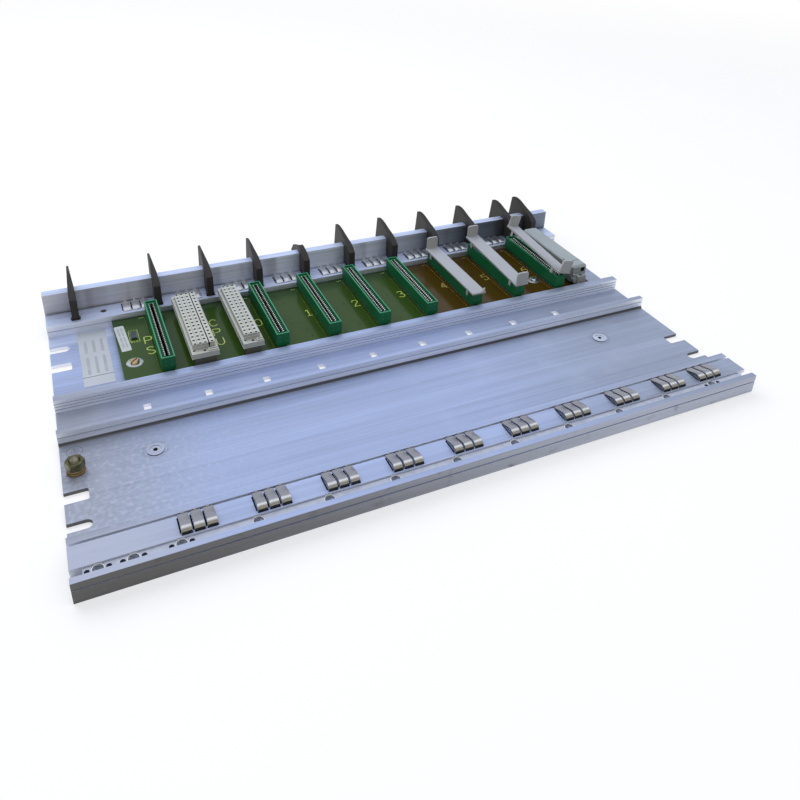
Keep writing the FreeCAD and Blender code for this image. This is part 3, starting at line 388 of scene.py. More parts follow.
@dataclass(frozen=True)
class SpringFoil(Finish):
    """Bright bent sheet with painted reflection: light and dark bands of the room painted along each
    finger.
    """

    painted_reflection_bands: Sequence[tuple[float, Colour]]

    def paint(self, bench: Bench) -> None:
        """Paint the reflection bands by how far the sheet leans to the front."""
        patch = bench.noise(700.0, 3.0)
        lean = 0.06 - bench.normal()[1] - patch * 0.12
        # Painted reflection: the ramp turns the lean into the bright and dark bands the room would
        # mirror.
        base = bench.node("ShaderNodeValToRGB", {"stops": self.painted_reflection_bands}, {"Fac": lean}, "Color")
        bench.surface(base, 0.2 + 0.14 * patch, bench.relief(patch, 0.12, 0.03), {"Metallic": 0.75})


@dataclass(frozen=True)
class Moulding(Finish):
    """Moulded plastic: faint mottling, dust in the surface and a fine grain, with painted light that
    pales the tops over the shaded sides.
    """

    colour: Colour
    shaded_colour: Colour
    roughness: float
    grain: float = 1500.0
    yellowing: float = 0.0
    sheen: float = 0.5
    aged_colour: Colour = (0.62, 0.56, 0.38)

    def paint(self, bench: Bench) -> None:
        """Pale the top faces with painted light, mottle the colour and let it yellow in patches."""
        cloud = bench.noise(48.0, 4.0)
        fine = bench.noise(self.grain, 2.0)
        # Painted light: faces that look up take the lit colour, the others the shaded colour.
        share = bench.facing_up(0.3, 0.9) * 0.75 + cloud * 0.25
        base = bench.dim(bench.coat(self.shaded_colour, (share, self.colour)), 0.93 + 0.14 * cloud)
        if self.yellowing:
            aged = bench.noise(14.0, 3.0).step_up(0.45, 0.7) * self.yellowing
            base = bench.coat(base, (aged, self.aged_colour))
        bench.surface(base, self.roughness + 0.12 * cloud, bench.relief(fine, 0.2, 0.05),
                      {"Specular IOR Level": self.sheen})


@dataclass(frozen=True)
class BoardLacquer(Finish):
    """A glossy solder mask: the tracks show as faint lines, the cut edge as glass fibre."""

    colour: Colour
    copper: Colour
    edge: Colour
    rear_ledge_shade: Colour

    def paint(self, bench: Bench) -> None:
        """Lay the mask over the tracks and darken it with painted shade towards the rear ledge."""
        y = bench.axes(bench.place())[1]
        wave = {"Vector": bench.place(), "Scale": 190.0, "Distortion": 0.4, "Detail": 1.0,
                "Detail Scale": 1.0}
        settings = {"bands_direction": "Y", "wave_profile": "SIN"}
        tracks = bench.node("ShaderNodeTexWave", settings, wave, "Fac").step_up(0.55, 0.7)
        tracks = tracks * y.band((0.026, 0.03), (0.112, 0.114))
        cloud = bench.noise(30.0, 3.0)
        # Painted shade: the board darkens towards the wall of the rear ledge.
        base = bench.coat(self.colour, (tracks * 0.22, self.copper),
                          (y.step_up(0.098, 0.112) * 0.5, self.rear_ledge_shade))
        base = bench.dim(base, 0.86 + 0.28 * cloud)
        base = bench.coat(self.edge, (bench.facing_up(0.4, 0.8), base))
        bench.surface(base, 0.1 + 0.1 * cloud, bench.relief(tracks, 0.25, 0.04),
                      {"Specular IOR Level": 0.2})


@dataclass(frozen=True)
class Print(Finish):
    """Printing ink or label stock with worn, slightly uneven colour."""

    colour: Colour
    worn: Colour
    roughness: float = 0.55
    patch: float = 90.0
    metallic: float = 0.0

    def paint(self, bench: Bench) -> None:
        """Wear the colour in patches."""
        fibre = bench.noise(self.patch * 14, 2.0)
        share = bench.noise(self.patch, 4.0).step_up(0.35, 0.75)
        bench.surface(bench.coat(self.colour, (share, self.worn)), self.roughness + 0.15 * fibre,
                      bench.relief(fibre, 0.12, 0.03), {"Metallic": self.metallic})


@dataclass(frozen=True)
class Backdrop(Finish):
    """The pale studio floor, which keeps a soft shadow and fades to white far away."""

    colour: Colour = (0.9, 0.9, 0.905)
    white: Colour = (1.0, 1.0, 1.0)
    seen_white: float = 0.55
    fade: Spot = (0.6, 2.2)

    def paint(self, bench: Bench) -> None:
        """Mix the matte floor with white wherever it is seen directly."""
        matte = bench.dim(self.colour, 0.98 + 0.04 * bench.noise(3.0, 2.0))
        matte = bench.node("ShaderNodeBsdfDiffuse", {}, {"Color": matte})
        glow = bench.node("ShaderNodeEmission", {}, {"Color": self.white, "Strength": 1.0})
        away = bench.away("LENGTH", {0: bench.place()}).step_up(*self.fade)
        seen = bench.node("ShaderNodeLightPath", {}, {}, "Is Camera Ray")
        outputs = seen.socket.node.outputs
        for ray in ("Is Glossy Ray", "Is Transmission Ray"):
            seen = seen.at_least(Wire(bench, outputs[ray]))
        share = seen * (self.seen_white + away * (1 - self.seen_white))
        bench.close(bench.node("ShaderNodeMixShader", {}, {0: share, 1: matte, 2: glow}))


FINISHES: dict[str, Finish] = {
    "profile": Extrusion("mill_aluminium", (0.46, 0.54, 0.76), (0.14, 0.137, 0.135),
                         (0.44, 0.47, 0.55), (0.66, 0.7, 0.82), (0.8, 0.83, 0.9),
                         (0.4, 0.45, 0.56), 0.42, True),
    "disc": Extrusion("turned_aluminium", (0.6, 0.66, 0.82), (0.3, 0.3, 0.32), (0.4, 0.42, 0.5),
                      (0.75, 0.77, 0.85), (0.4, 0.42, 0.5), (0.6, 0.66, 0.78), 0.3),
    "bar": Plating("zinc_bar", (0.6, 0.63, 0.72), (0.42, 0.44, 0.5), 0.3, 0.35),
    # The spring's ramp is a painted reflection, from the bright crest to the dark front.
    "spring": SpringFoil("spring_silver", (
        (0.0, (0.32, 0.32, 0.34)), (0.15, (0.45, 0.45, 0.46)), (0.3, (0.88, 0.87, 0.84)),
        (0.42, (0.54, 0.56, 0.52)), (0.6, (0.28, 0.22, 0.16)), (0.75, (0.42, 0.43, 0.38)),
        (0.9, (0.1, 0.09, 0.08)), (1.0, (0.04, 0.04, 0.04)))),
    "ledge_spring": Plating("ledge_spring_silver", (0.74, 0.75, 0.78), (0.58, 0.57, 0.56), 0.3, 0.25),
    "brass": Plating("yellow_zinc", (0.16, 0.15, 0.075), (0.05, 0.046, 0.025), 0.24, 0.8),
    "bronze": Plating("washer_bronze", (0.3, 0.2, 0.09), (0.1, 0.065, 0.03), 0.3, 0.8),
    "stud": Plating("stud_zinc", (0.3, 0.29, 0.2), (0.1, 0.095, 0.06), 0.3, 0.7),
    "screw": Plating("screw_bronze", (0.7, 0.5, 0.26), (0.12, 0.08, 0.04), 0.2, 0.8),
    "steel_screw": Plating("screw_steel", (0.75, 0.74, 0.72), (0.2, 0.18, 0.15), 0.2, 0.5),
    "tin": Plating("tinned_pad", (0.6, 0.64, 0.66), (0.35, 0.38, 0.38), 0.3, 0.6),
    "contact": Plating("contact_silver", (0.96, 0.96, 0.9), (0.7, 0.66, 0.5), 0.2, 0.3),
    "connector": Moulding("green_connector", (0.01, 0.19, 0.08), (0.001, 0.075, 0.022), 0.42,
                          sheen=0.3),
    "rim": Moulding("green_connector_rim", (0.02, 0.25, 0.11), (0.001, 0.09, 0.03), 0.32),
    # A darker, shaded copy of the connector green: painted shade on the foot and inside the recess.
    "recess": Moulding("green_connector_shaded", (0.006, 0.1, 0.04), (0.002, 0.05, 0.015), 0.5),
    # Near-black painted shade for holes, slots, grooves and gaps.
    "painted_shade": Moulding("painted_shade_black", (0.004, 0.007, 0.005), (0.002, 0.004, 0.003), 0.7, sheen=0.1),
    "socket": Moulding("grey_socket", (0.43, 0.45, 0.42), (0.28, 0.29, 0.26), 0.42, yellowing=0.15),
    # Painted shade: a dark copy of the socket grey for the foot under the overhanging body.
    "socket_foot": Moulding("grey_socket_foot_shaded", (0.1, 0.1, 0.08), (0.07, 0.07, 0.055), 0.5),
    "cover": Moulding("pale_cover", (0.34, 0.357, 0.39), (0.306, 0.306, 0.29), 0.4),
    "cap": Moulding("grey_cap", (0.29, 0.33, 0.34), (0.19, 0.2, 0.19), 0.4),
    "fin": Moulding("fin_grey", (0.034, 0.031, 0.028), (0.028, 0.026, 0.023), 0.5, 900.0, sheen=0.25),
    "green_board": BoardLacquer("green_board", (0.027, 0.06, 0.008), (0.045, 0.09, 0.015),
                                (0.12, 0.2, 0.09), (0.006, 0.03, 0.012)),
    "brown_board": BoardLacquer("brown_board", (0.05, 0.03, 0.002), (0.08, 0.045, 0.006),
                                (0.2, 0.12, 0.05), (0.04, 0.022, 0.005)),
    "insulator": Moulding("insulator_sheet", (0.06, 0.07, 0.05), (0.04, 0.05, 0.035), 0.5),
    "green_ink": Print("board_print_green", (0.5, 0.62, 0.13), (0.36, 0.5, 0.08)),
    "brown_ink": Print("board_print_brown", (0.42, 0.34, 0.1), (0.28, 0.22, 0.05)),
    "faint_ink": Print("outline_print", (0.16, 0.24, 0.06), (0.08, 0.15, 0.03)),
    "scribe": Print("engraved_line", (0.12, 0.12, 0.14), (0.22, 0.22, 0.25), 0.5),
    "chip": Print("chip_body", (0.02, 0.035, 0.035), (0.04, 0.06, 0.07), 0.4),
    "label": Print("sticker_stock", (0.44, 0.47, 0.48), (0.38, 0.41, 0.43), 0.5, 60.0),
    "label_field": Print("sticker_field", (0.3, 0.32, 0.33), (0.34, 0.36, 0.37), 0.5),
    "plate": Print("nameplate_foil", (0.42, 0.45, 0.49), (0.48, 0.5, 0.54), 0.4, 30.0, 0.2),
    "plate_field": Print("nameplate_field", (0.3, 0.32, 0.35), (0.36, 0.38, 0.4), 0.4),
    "plate_line": Print("nameplate_line", (0.06, 0.06, 0.07), (0.1, 0.1, 0.11), 0.4),
    "floor": Backdrop("studio_floor"),
}


# Mesh work


class Shape:
    """Collects the faces of one piece in millimetres of the row frame."""

    def __init__(self, name: str, finishes: Sequence[bpy.types.Material]) -> None:
        """Start an empty piece with its finishes."""
        self.name = name
        self.finishes = finishes
        self.mesh = bmesh.new()
        self.rounded = False

    def loop(self, corners: Iterable[Point]) -> list[bmesh.types.BMVert]:
        """Add vertices at corners."""
        return [self.mesh.verts.new(corner) for corner in corners]

    def level_loop(self, spots: Iterable[Spot], height: float) -> list[bmesh.types.BMVert]:
        """Add vertices at one height."""
        return self.loop((x, y, height) for x, y in spots)

    def panel(self, corners: Verts, finish: int = 0) -> None:
        """Add one face between vertices, unless fewer than three differ."""
        corners = list(dict.fromkeys(corners))
        if len(corners) > 2:
            self.mesh.faces.new(corners).material_index = finish

    def bridge(self, lower: Verts, upper: Verts, finish: int = 0, closed: bool = True) -> None:
        """Join two rows of vertices with faces.

        Args:
            lower: One row, or a single vertex.
            upper: The other row, or a single vertex.
            finish: Number of the finish.
            closed: Whether the rows run back to their start.
        """
        count = max(len(lower), len(upper))
        for step in range(count if closed else count - 1):
            after = (step + 1) % count
            self.panel([lower[step % len(lower)], lower[after % len(lower)],
                        upper[after % len(upper)], upper[step % len(upper)]], finish)

    def prism(self, outline: Sequence[Spot], axis: int, start: float, end: float,
              finish: int = 0) -> None:
        """Extrude an outline along an axis.

        Args:
            outline: Corners in the plane of the other two axes, in their order.
            axis: 0, 1 or 2 for X, Y or Z.
            start: Where the prism starts.
            end: Where it ends.
            finish: Number of the finish.
        """
        low, high = [self.loop((*spot[:axis], height, *spot[axis:]) for spot in outline)
                     for height in (start, end)]
        self.panel(low, finish)
        self.panel(high, finish)
        self.bridge(low, high, finish)

    def block(self, low: Point, high: Point, finish: int = 0) -> None:
        """Add an upright block between two opposite corners."""
        (x0, x1), (y0, y1), (z0, z1) = (sorted(pair) for pair in zip(low, high))
        self.prism([(x0, y0), (x1, y0), (x1, y1), (x0, y1)], 2, z0, z1, finish)

    def turned(self, profile: Sequence[Spot], centre: Spot, steps: int, finish: int = 0) -> None:
        """Turn a profile of (radius, height) about an upright axis."""
        rings = []
        for radius, height in profile:
            count = 1 if radius < NO_LENGTH else steps
            spots = (around(centre, radius, math.tau * step / steps) for step in range(count))
            rings.append(self.level_loop(spots, height))
        for lower, upper in zip(rings, rings[1:]):
            self.bridge(lower, upper, finish)

    def ribbon(self, points: Sequence[Spot], width: float, level: float, thickness: float,
               finish: int = 0) -> None:
        """Lay a flat line of a given width through points.

        Args:
            points: Places along the line.
            width: Width of the line.
            level: Height of the surface it lies on.
            thickness: Height of the line.
            finish: Number of the finish.
        """
        spots = [Vector(point) for point in points]
        closed = (spots[0] - spots[-1]).length < NO_LENGTH
        if closed:
            spots.pop()
        left, right = [], []
        count = len(spots)
        for index, spot in enumerate(spots):
            before = spots[index - 1] if index or closed else spot
            after = spots[(index + 1) % count] if index < count - 1 or closed else spot
            steps = (spot - before, after - spot)
            runs = [step.normalized() for step in steps if step.length > NO_LENGTH]
            along = sum(runs, Vector((0.0, 0.0))).normalized()
            across = Vector((-along.y, along.x))
            mitre = max(abs(across.dot(Vector((-runs[0].y, runs[0].x)))), 0.5)
            left.append(spot + across * (width / 2 / mitre))
            right.append(spot - across * (width / 2 / mitre))
        top = level + thickness
        for index in range(count if closed else count - 1):
            after = (index + 1) % count
            a, b, c, d = right[index], right[after], left[after], left[index]
            self.panel(self.level_loop((a, b, c, d), top), finish)
            for near, far in ((a, b), (c, d)):
                corners = ((*near, level), (*far, level), (*far, top), (*near, top))
                self.panel(self.loop(corners), finish)

    def take(self, node: str) -> None:
        """Copy a CAD node's faces, joined up and without its triangle edges."""
        self.mesh.from_mesh(bpy.data.objects[node].data)
        self.mesh.transform(Matrix.Scale(1 / MM, 4))
        for face in self.mesh.faces:
            face.material_index = 0
        bmesh.ops.remove_doubles(self.mesh, verts=self.mesh.verts, dist=0.002)
        bmesh.ops.dissolve_limit(self.mesh, angle_limit=math.radians(1.5), verts=self.mesh.verts,
                                 edges=self.mesh.edges)

    def soften(self, width: float) -> None:
        """Round every sharp edge."""
        self.rounded = True
        self.mesh.normal_update()
        sharp = [edge for edge in self.mesh.edges
                 if edge.is_manifold and edge.calc_face_angle(0.0) > math.radians(35.0)]
        bmesh.ops.bevel(self.mesh, geom=sharp, offset=width, segments=2, profile=0.5,
                        affect="EDGES", clamp_overlap=True)

    def turn(self, centre: Spot, degrees: float) -> None:
        """Turn everything about an upright axis."""
        middle = Matrix.Translation((*centre, 0.0))
        spin = Matrix.Rotation(math.radians(degrees), 4, "Z")
        self.mesh.transform(middle @ spin @ middle.inverted())

    def done(self, *nodes: str, crease: float = 32.0) -> None:
        """Turn the faces into a piece that rides on the rack.

        Args:
            nodes: CAD nodes that the piece stands for.
            crease: Angle in degrees above which an edge stays sharp.
        """
        bmesh.ops.recalc_face_normals(self.mesh, faces=self.mesh.faces)
        self.mesh.transform(Matrix.Scale(MM, 4))
        data = bpy.data.meshes.new(self.name)
        self.mesh.to_mesh(data)
        self.mesh.free()
        for finish in self.finishes:
            data.materials.append(finish)
        piece = put(self.name, data)
        for face in data.polygons:
            face.use_smooth = True
        data.set_sharp_from_angle(angle=math.radians(crease))
        if self.rounded:
            piece.modifiers.new("flat_faces", "WEIGHTED_NORMAL").keep_sharp = True
        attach(piece, "root")
        if nodes:
            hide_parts(*nodes)
        log.info("%s: %d faces", self.name, len(data.polygons))


def smooth_line(points: Sequence[Spot], steps: int = 6) -> list[Spot]:
    """Run a smooth line through points.

    Args:
        points: Places the line passes through.
        steps: Pieces between two points.

    Returns:
        The points of the smooth line.
    """
    spots = [Vector(point) for point in points]
    spots = [spots[0] * 2 - spots[1]] + spots + [spots[-1] * 2 - spots[-2]]
    line = []
    for index in range(1, len(spots) - 2):
        a, b, c, d = spots[index - 1:index + 3]
        for step in range(steps):
            t = step / steps
            spot = 0.5 * (2 * b + (c - a) * t + (2 * a - 5 * b + 4 * c - d) * t * t
                          + (3 * b - a - 3 * c + d) * t ** 3)
            line.append((spot.x, spot.y))
    line.append(tuple(points[-1]))
    return line


class Glyph(Enum):
    """Strokes of the printed slot marks, each in a box 0.55 wide and 1 high."""

    ZERO = ("0", [[(0.27, 1.0), (0.05, 0.86), (0.0, 0.5), (0.05, 0.14), (0.27, 0.0), (0.5, 0.14),
                   (0.55, 0.5), (0.5, 0.86), (0.27, 1.0)]])
    ONE = ("1", [[(0.1, 0.8), (0.22, 0.86), (0.3, 1.0)], [(0.3, 1.0), (0.3, 0.0)],
                 [(0.1, 0.0), (0.5, 0.0)]])
    TWO = ("2", [[(0.03, 0.74), (0.1, 0.93), (0.3, 1.0), (0.5, 0.88), (0.5, 0.66), (0.3, 0.4),
                  (0.02, 0.0)], [(0.02, 0.0), (0.56, 0.0)]])
    THREE = ("3", [[(0.03, 0.84), (0.26, 1.0), (0.49, 0.87), (0.46, 0.64), (0.24, 0.54)],
                   [(0.24, 0.54), (0.5, 0.44), (0.55, 0.2), (0.3, 0.0), (0.0, 0.14)]])
    FOUR = ("4", [[(0.55, 0.3), (0.0, 0.3)], [(0.0, 0.3), (0.38, 1.0)], [(0.38, 1.0), (0.38, 0.0)]])
    FIVE = ("5", [[(0.5, 1.0), (0.08, 1.0)], [(0.08, 1.0), (0.04, 0.56)],
                  [(0.04, 0.56), (0.3, 0.64), (0.54, 0.5), (0.54, 0.18), (0.28, 0.0), (0.0, 0.12)]])
    SIX = ("6", [[(0.48, 0.94), (0.2, 0.82), (0.02, 0.5), (0.02, 0.2), (0.27, 0.0), (0.54, 0.16),
                  (0.54, 0.42), (0.3, 0.55), (0.05, 0.4)]])
    PEE = ("P", [[(0.0, 0.0), (0.0, 1.0)], [(0.0, 1.0), (0.3, 1.0), (0.53, 0.92), (0.56, 0.72),
                                            (0.5, 0.53), (0.3, 0.46), (0.0, 0.46)]])
    ESS = ("S", [[(0.52, 0.86), (0.3, 1.0), (0.06, 0.9), (0.04, 0.68), (0.28, 0.52), (0.52, 0.38),
                  (0.54, 0.14), (0.28, 0.0), (0.02, 0.13)]])
    CEE = ("C", [[(0.55, 0.84), (0.3, 1.0), (0.06, 0.82), (0.0, 0.5), (0.06, 0.18), (0.3, 0.0),
                  (0.55, 0.16)]])
    YOU = ("U", [[(0.0, 1.0), (0.0, 0.25), (0.27, 0.0), (0.54, 0.25), (0.54, 1.0)]])

    @classmethod
    def strokes(cls, mark: str) -> list[list[Spot]]:
        """Give the strokes of a mark."""
        return next(glyph.value[1] for glyph in cls if glyph.value[0] == mark)


# Sub-assemblies


@dataclass
class Assembly:
    """Pieces that share the rack's finishes."""

    finishes: Materials

    def shape(self, name: str, *finishes: str) -> Shape:
        """Start a piece with its finishes."""
        return Shape(name, [self.finishes[finish] for finish in finishes])

    def dress(self, node: str, name: str, finish: str, edge: float) -> None:
        """Give a CAD node soft edges and a finish."""
        piece = self.shape(name, finish)
        piece.take(node)
        piece.soften(edge)
        piece.done(node)

    def recolour(self, node: str, finish: str) -> None:
        """Give a finish to a CAD node that stays as it is."""
        materials = bpy.data.objects[node].data.materials
        materials.clear()
        materials.append(self.finishes[finish])

    def build(self) -> None:
        """Make the pieces."""
        raise NotImplementedError


@dataclass
class Profile(Assembly):
    """The extruded profile with its engraved sign and the discs on the front deck."""

    edge: float = 0.22
    disc_edge: float = 0.12
    disc_hole: float = 1.5
    sign_place: Spot = (9.0, 118.8)
    sign_radius: float = 5.0
    sign_line: float = 0.35
    deck: float = 2.5

    def build(self) -> None:
        """Make the profile, the earth sign and the discs."""
        self.dress("mounting_profile", "rack_profile", "profile", self.edge)
        self.engrave()
        discs = self.shape("deck_disc_pair", "disc", "painted_shade")
        discs.take("deck_discs")
        discs.soften(self.disc_edge)
        low, high = node_box("deck_discs")
        radius = (high.y - low.y) / 2
        # The holes in the discs are near-black discs of painted shade.
        hole = [(self.disc_hole, self.deck + 0.1), (0.0, self.deck + 0.1)]
        for x in (low.x + radius, high.x - radius):
            discs.turned(hole, (x, (low.y + high.y) / 2), 20, 1)
        discs.done("deck_discs")

    def engrave(self) -> None:
        """Engrave the earth sign beside the stud."""
        sign = self.shape("earth_sign", "scribe")
        x, y = rack(*self.sign_place)
        radius = self.sign_radius
        lines = [[around((x, y), radius, math.radians(angle)) for angle in range(0, 361, 12)],
                 [(x, y + radius * 0.75), (x, y)]]
        for reach, drop in ((0.62, 0.0), (0.4, 0.26), (0.2, 0.52)):
            lines.append([(x + side * radius * reach, y - radius * drop) for side in SIDES])
        for line in lines:
            sign.ribbon(line, self.sign_line, self.deck, 0.02)
        sign.done()


@dataclass
class ClampBar(Assembly):
    """The threaded bar in the front channel."""

    edge: float = 0.2
    first_hole: float = 57.9
    pitch: float = 43.18
    holes: int = 10
    end_holes: Spot = (14.2, 32.4)
    line: float = 7.65
    thread_radius: float = 2.5
    thread_depth: float = 0.3
    thread_pitch: float = 0.8
    rim: Sequence[Spot] = ((3.05, 0.01), (3.15, 0.05), (3.5, 0.05), (3.6, 0.01))

    def build(self) -> None:
        """Make the bar, the threads in its holes and the bright rims around them."""
        self.dress("clamp_bar", "clamp_bar_steel", "bar", self.edge)
        low, high = node_box("clamp_bar")
        start = low.z + 0.1
        threads = self.shape("clamp_bar_threads", "bar", "contact")
        turns = int((high.z - low.z - 1.6) / self.thread_pitch)
        profile = []
        for turn in range(turns):
            level = start + turn * self.thread_pitch
            profile += [(self.thread_radius, level),
                        (self.thread_radius - self.thread_depth, level + self.thread_pitch / 2)]
        profile.append((self.thread_radius, start + turns * self.thread_pitch))
        rim = [(radius, high.z + rise) for radius, rise in self.rim]
        rows = [self.first_hole + self.pitch * step for step in range(self.holes)]
        for place in (*self.end_holes, *rows):
            centre = rack(place, self.line)
            threads.turned(profile, centre, 20)
            threads.turned(rim, centre, 28, 1)
        threads.done(crease=60.0)


@dataclass
class BusBoard(Assembly):
    """The two bus boards with their print, pads, screws, chip and sticker."""

    letter_height: float = 9.9
    letter_line: float = 0.85
    digit_middle: float = 217.4
    digit_pitch: float = 43.0
    first_digit: float = 157.9
    brown_start: float = 300.0
    outline_ends: Spot = (171.5, 259.8)
    outline_reach: float = 6.2
    dash_pitch: float = 3.6
    dash: float = 2.4
    pads: tuple[Spot, Spot] = ((57.8, 196.9), (413.7, 196.9))
    connectors: Sequence[float] = (79.6, 166.1, 209.28, 252.46, 295.64, 338.82, 382.0, 425.18)
    screw_radius: float = 3.5
    chip_place: Spot = (61.8, 233.3)
    pin_pitch: float = 1.27
    sticker_place: Spot = (53.3, 232.6)
    sticker_half: Spot = (3.75, 18.75)
    sticker_corner: float = 0.9
    sticker_turn: float = 3.4

    def build(self) -> None:
        """Dress the boards and make everything that lies on them."""
        self.recolour("backplane_board", "green_board")
        self.recolour("extension_board", "brown_board")
        self.recolour("board_insulator", "insulator")
        self.level = node_box("backplane_board")[1].z
        self.marks()
        self.outlines()
        self.solder()
        self.screws()
        self.chip()
        self.nameplate()
        self.sticker()

    def write(self, shape: Shape, mark: str, centre: Spot, height: float, finish: int) -> None:
        """Write one mark, upright along Y.

        Args:
            shape: The piece that takes the lines.
            mark: The letter or digit.
            centre: Its middle, as a rack place.
            height: Its height.
            finish: Number of the ink.
        """
        left, foot = rack(centre[0] - 0.275 * height, centre[1] - height / 2)
        for stroke in Glyph.strokes(mark):
            line = smooth_line(stroke) if len(stroke) > 2 else stroke
            spots = [(left + x * height, foot + y * height) for x, y in line]
            shape.ribbon(spots, self.letter_line, self.level, 0.04, finish)

    def marks(self) -> None:
        """Print the slot marks."""
        ink = self.shape("board_marks", "green_ink", "brown_ink")
        height = self.letter_height
        for mark, centre in (("P", (71.4, 223.9)), ("S", (71.3, 208.7)), ("C", (123.5, 230.0)),
                             ("P", (123.5, 215.4)), ("U", (123.4, 201.8))):
            self.write(ink, mark, centre, height, 0)
        for digit in range(7):
            centre = (self.first_digit + self.digit_pitch * digit, self.digit_middle)
            brown = digit > 3
            self.write(ink, str(digit), centre, height * 0.95 if brown else height, int(brown))
        ink.done()

    def outlines(self) -> None:
        """Lay a near-black line of painted shade along the rear, and print the dashed connector
        outlines and the pin marks behind them.
        """
        ink = self.shape("board_outlines", "faint_ink", "brown_ink", "green_ink", "painted_shade")
        low, high = node_box("backplane_board")
        rear_line = [(low.x + 1.0, high.y - 2.0), (high.x - 1.0, high.y - 2.0)]
        ink.ribbon(rear_line, 0.4, self.level, 0.03, 3)
        front, rear = (place - RACK_DEPTH / 2 for place in self.outline_ends)
        for place in self.connectors:
            x = place - RACK_WIDTH / 2
            brown = place > self.brown_start
            for dash in range(int((rear - front) / self.dash_pitch)):
                start = front + dash * self.dash_pitch
                edge = x - self.outline_reach
                ink.ribbon([(edge, start), (edge, start + self.dash)], 0.25, self.level, 0.03,
                           int(brown))
            for step in range(3):
                start = x - 10.6 + step * 1.5
                ink.ribbon([(start, rear - 1.2), (start + 0.8, rear - 1.2)], 0.7, self.level, 0.03,
                           1 if brown else 2)
        ink.done()

    def solder(self) -> None:
        """Tin the pads around the screws, and lay the through holes near the connectors as dots of
        near-black painted shade.
        """
        pads = self.shape("board_pads", "tin", "painted_shade")
        level = self.level
        for place in self.pads:
            ring = [(6.2, level), (6.1, level + 0.06), (2.2, level + 0.08)]
            pads.turned(ring, rack(*place), 40)
        chance = random.Random(7)
        for place in self.connectors[1:]:
            for _ in range(5):
                hole = rack(place - chance.uniform(15.0, 33.0), chance.uniform(176.0, 252.0))
                pads.turned([(0.55, level), (0.5, level + 0.03), (0.0, level + 0.03)], hole, 12, 1)
        pads.done()

    def screws(self) -> None:
        """Make the two slotted pan-head screws."""
        low, high = node_box("board_screws")
        radius, half, steps = self.screw_radius, 0.5, 16
        middle = (low.y + high.y) / 2
        start = math.asin(half / radius)
        for name, x, turn, finish, nodes in (
            ("board_screw_left", low.x + radius, 38.0, "screw", ("board_screws",)),
            ("board_screw_right", high.x - radius, 12.0, "steel_screw", ()),
        ):
            head = self.shape(name, finish, "painted_shade")
            for side in SIDES:
                angles = [start + (math.pi - 2 * start) * step / steps for step in range(steps + 1)]
                outline = [around((x, middle), radius, side * angle) for angle in angles]
                crown = [(x + (px - x) * 0.72, middle + (py - middle) * 0.72 + side * 0.14)
                         for px, py in outline]
                skirt = head.level_loop(outline, self.level)
                edge = head.level_loop(outline, high.z - 0.9)
                lid = head.level_loop(crown, high.z)
                head.bridge(skirt, edge, closed=False)
                head.bridge(edge, lid, closed=False)
                head.panel(lid)
                head.panel([skirt[0], edge[0], lid[0], lid[-1], edge[-1], skirt[-1]])
            # The slot is a near-black block of painted shade sunk into the head.
            reach = radius * 0.97
            head.block((x - reach, middle - half, self.level),
                       (x + reach, middle + half, high.z - 1.1), 1)
            head.turned([(1.5, low.z + 0.2), (1.5, self.level)], (x, middle), 20)
            head.turn((x, middle), turn)
            head.done(*nodes)

    def chip(self) -> None:
        """Place the small circuit with its printed frame."""
        part = self.shape("board_chip", "chip", "tin", "green_ink")
        x, y = rack(*self.chip_place)
        level = self.level
        part.block((x - 1.9, y - 4.9, level + 0.15), (x + 1.9, y + 4.9, level + 1.7))
        for row in range(7):
            place = y - 3.8 + row * self.pin_pitch
            for side in SIDES:
                part.block((x + side * 1.9, place - 0.2, level + 0.02),
                           (x + side * 2.7, place + 0.2, level + 0.5), 1)
        frame = [(x + across * 3.5, y + along * 7.2)
                 for across, along in ((-1, -1), (1, -1), (1, 1), (-1, 1), (-1, -1))]
        part.ribbon(frame, 0.3, level, 0.03, 2)
        for step in range(4):
            start = x - 3.2 + step * 2.0
            part.ribbon([(start, y - 9.0), (start + 1.2, y - 8.6)], 0.5, level, 0.03, 2)
            part.ribbon([(start, y + 8.6), (start + 0.9, y + 8.7)], 0.4, level, 0.03, 2)
        part.done()

    def nameplate(self) -> None:
        """Dress the nameplate, without any wording."""
        low, high = node_box("nameplate")
        plate = self.shape("bare_nameplate", "plate", "plate_line", "plate_field")
        plate.take("nameplate")
        split = low.y + 11.9
        level = high.z - 0.01
        plate.ribbon([(low.x, split), (high.x, split)], 0.6, level, 0.03, 1)
        for start, end in ((15.0, 38.0), (44.0, 62.0)):
            for step in range(3):
                x = low.x + 5.0 + step * 6.0
                plate.ribbon([(x, low.y + start), (x, low.y + end)], 2.2, level, 0.02, 2)
        plate.done("nameplate")

    def sticker(self) -> None:
        """Dress the sticker, without any wording."""
        sticker = self.shape("bare_sticker", "label", "label_field")
        x, y = rack(*self.sticker_place)
        corner = self.sticker_corner
        half, length = (size - corner for size in self.sticker_half)
        outline = []
        for cx, cy, start in ((half, length, 0), (-half, length, 90), (-half, -length, 180),
                              (half, -length, 270)):
            outline += [around((x + cx, y + cy), corner, math.radians(start + step * 22.5))
                        for step in range(5)]
        sticker.prism(outline, 2, self.level, self.level + 0.2)
        for column, width in ((-1.3, 1.5), (1.3, 1.3)):
            for start, end in ((-13.5, -7.0), (-5.6, 2.0), (3.4, 9.0), (10.2, 15.5)):
                sticker.ribbon([(x + column, y + start), (x + column, y + end)], width,
                               self.level + 0.19, 0.03, 1)
        sticker.turn((x, y), self.sticker_turn)
        sticker.done("board_sticker")


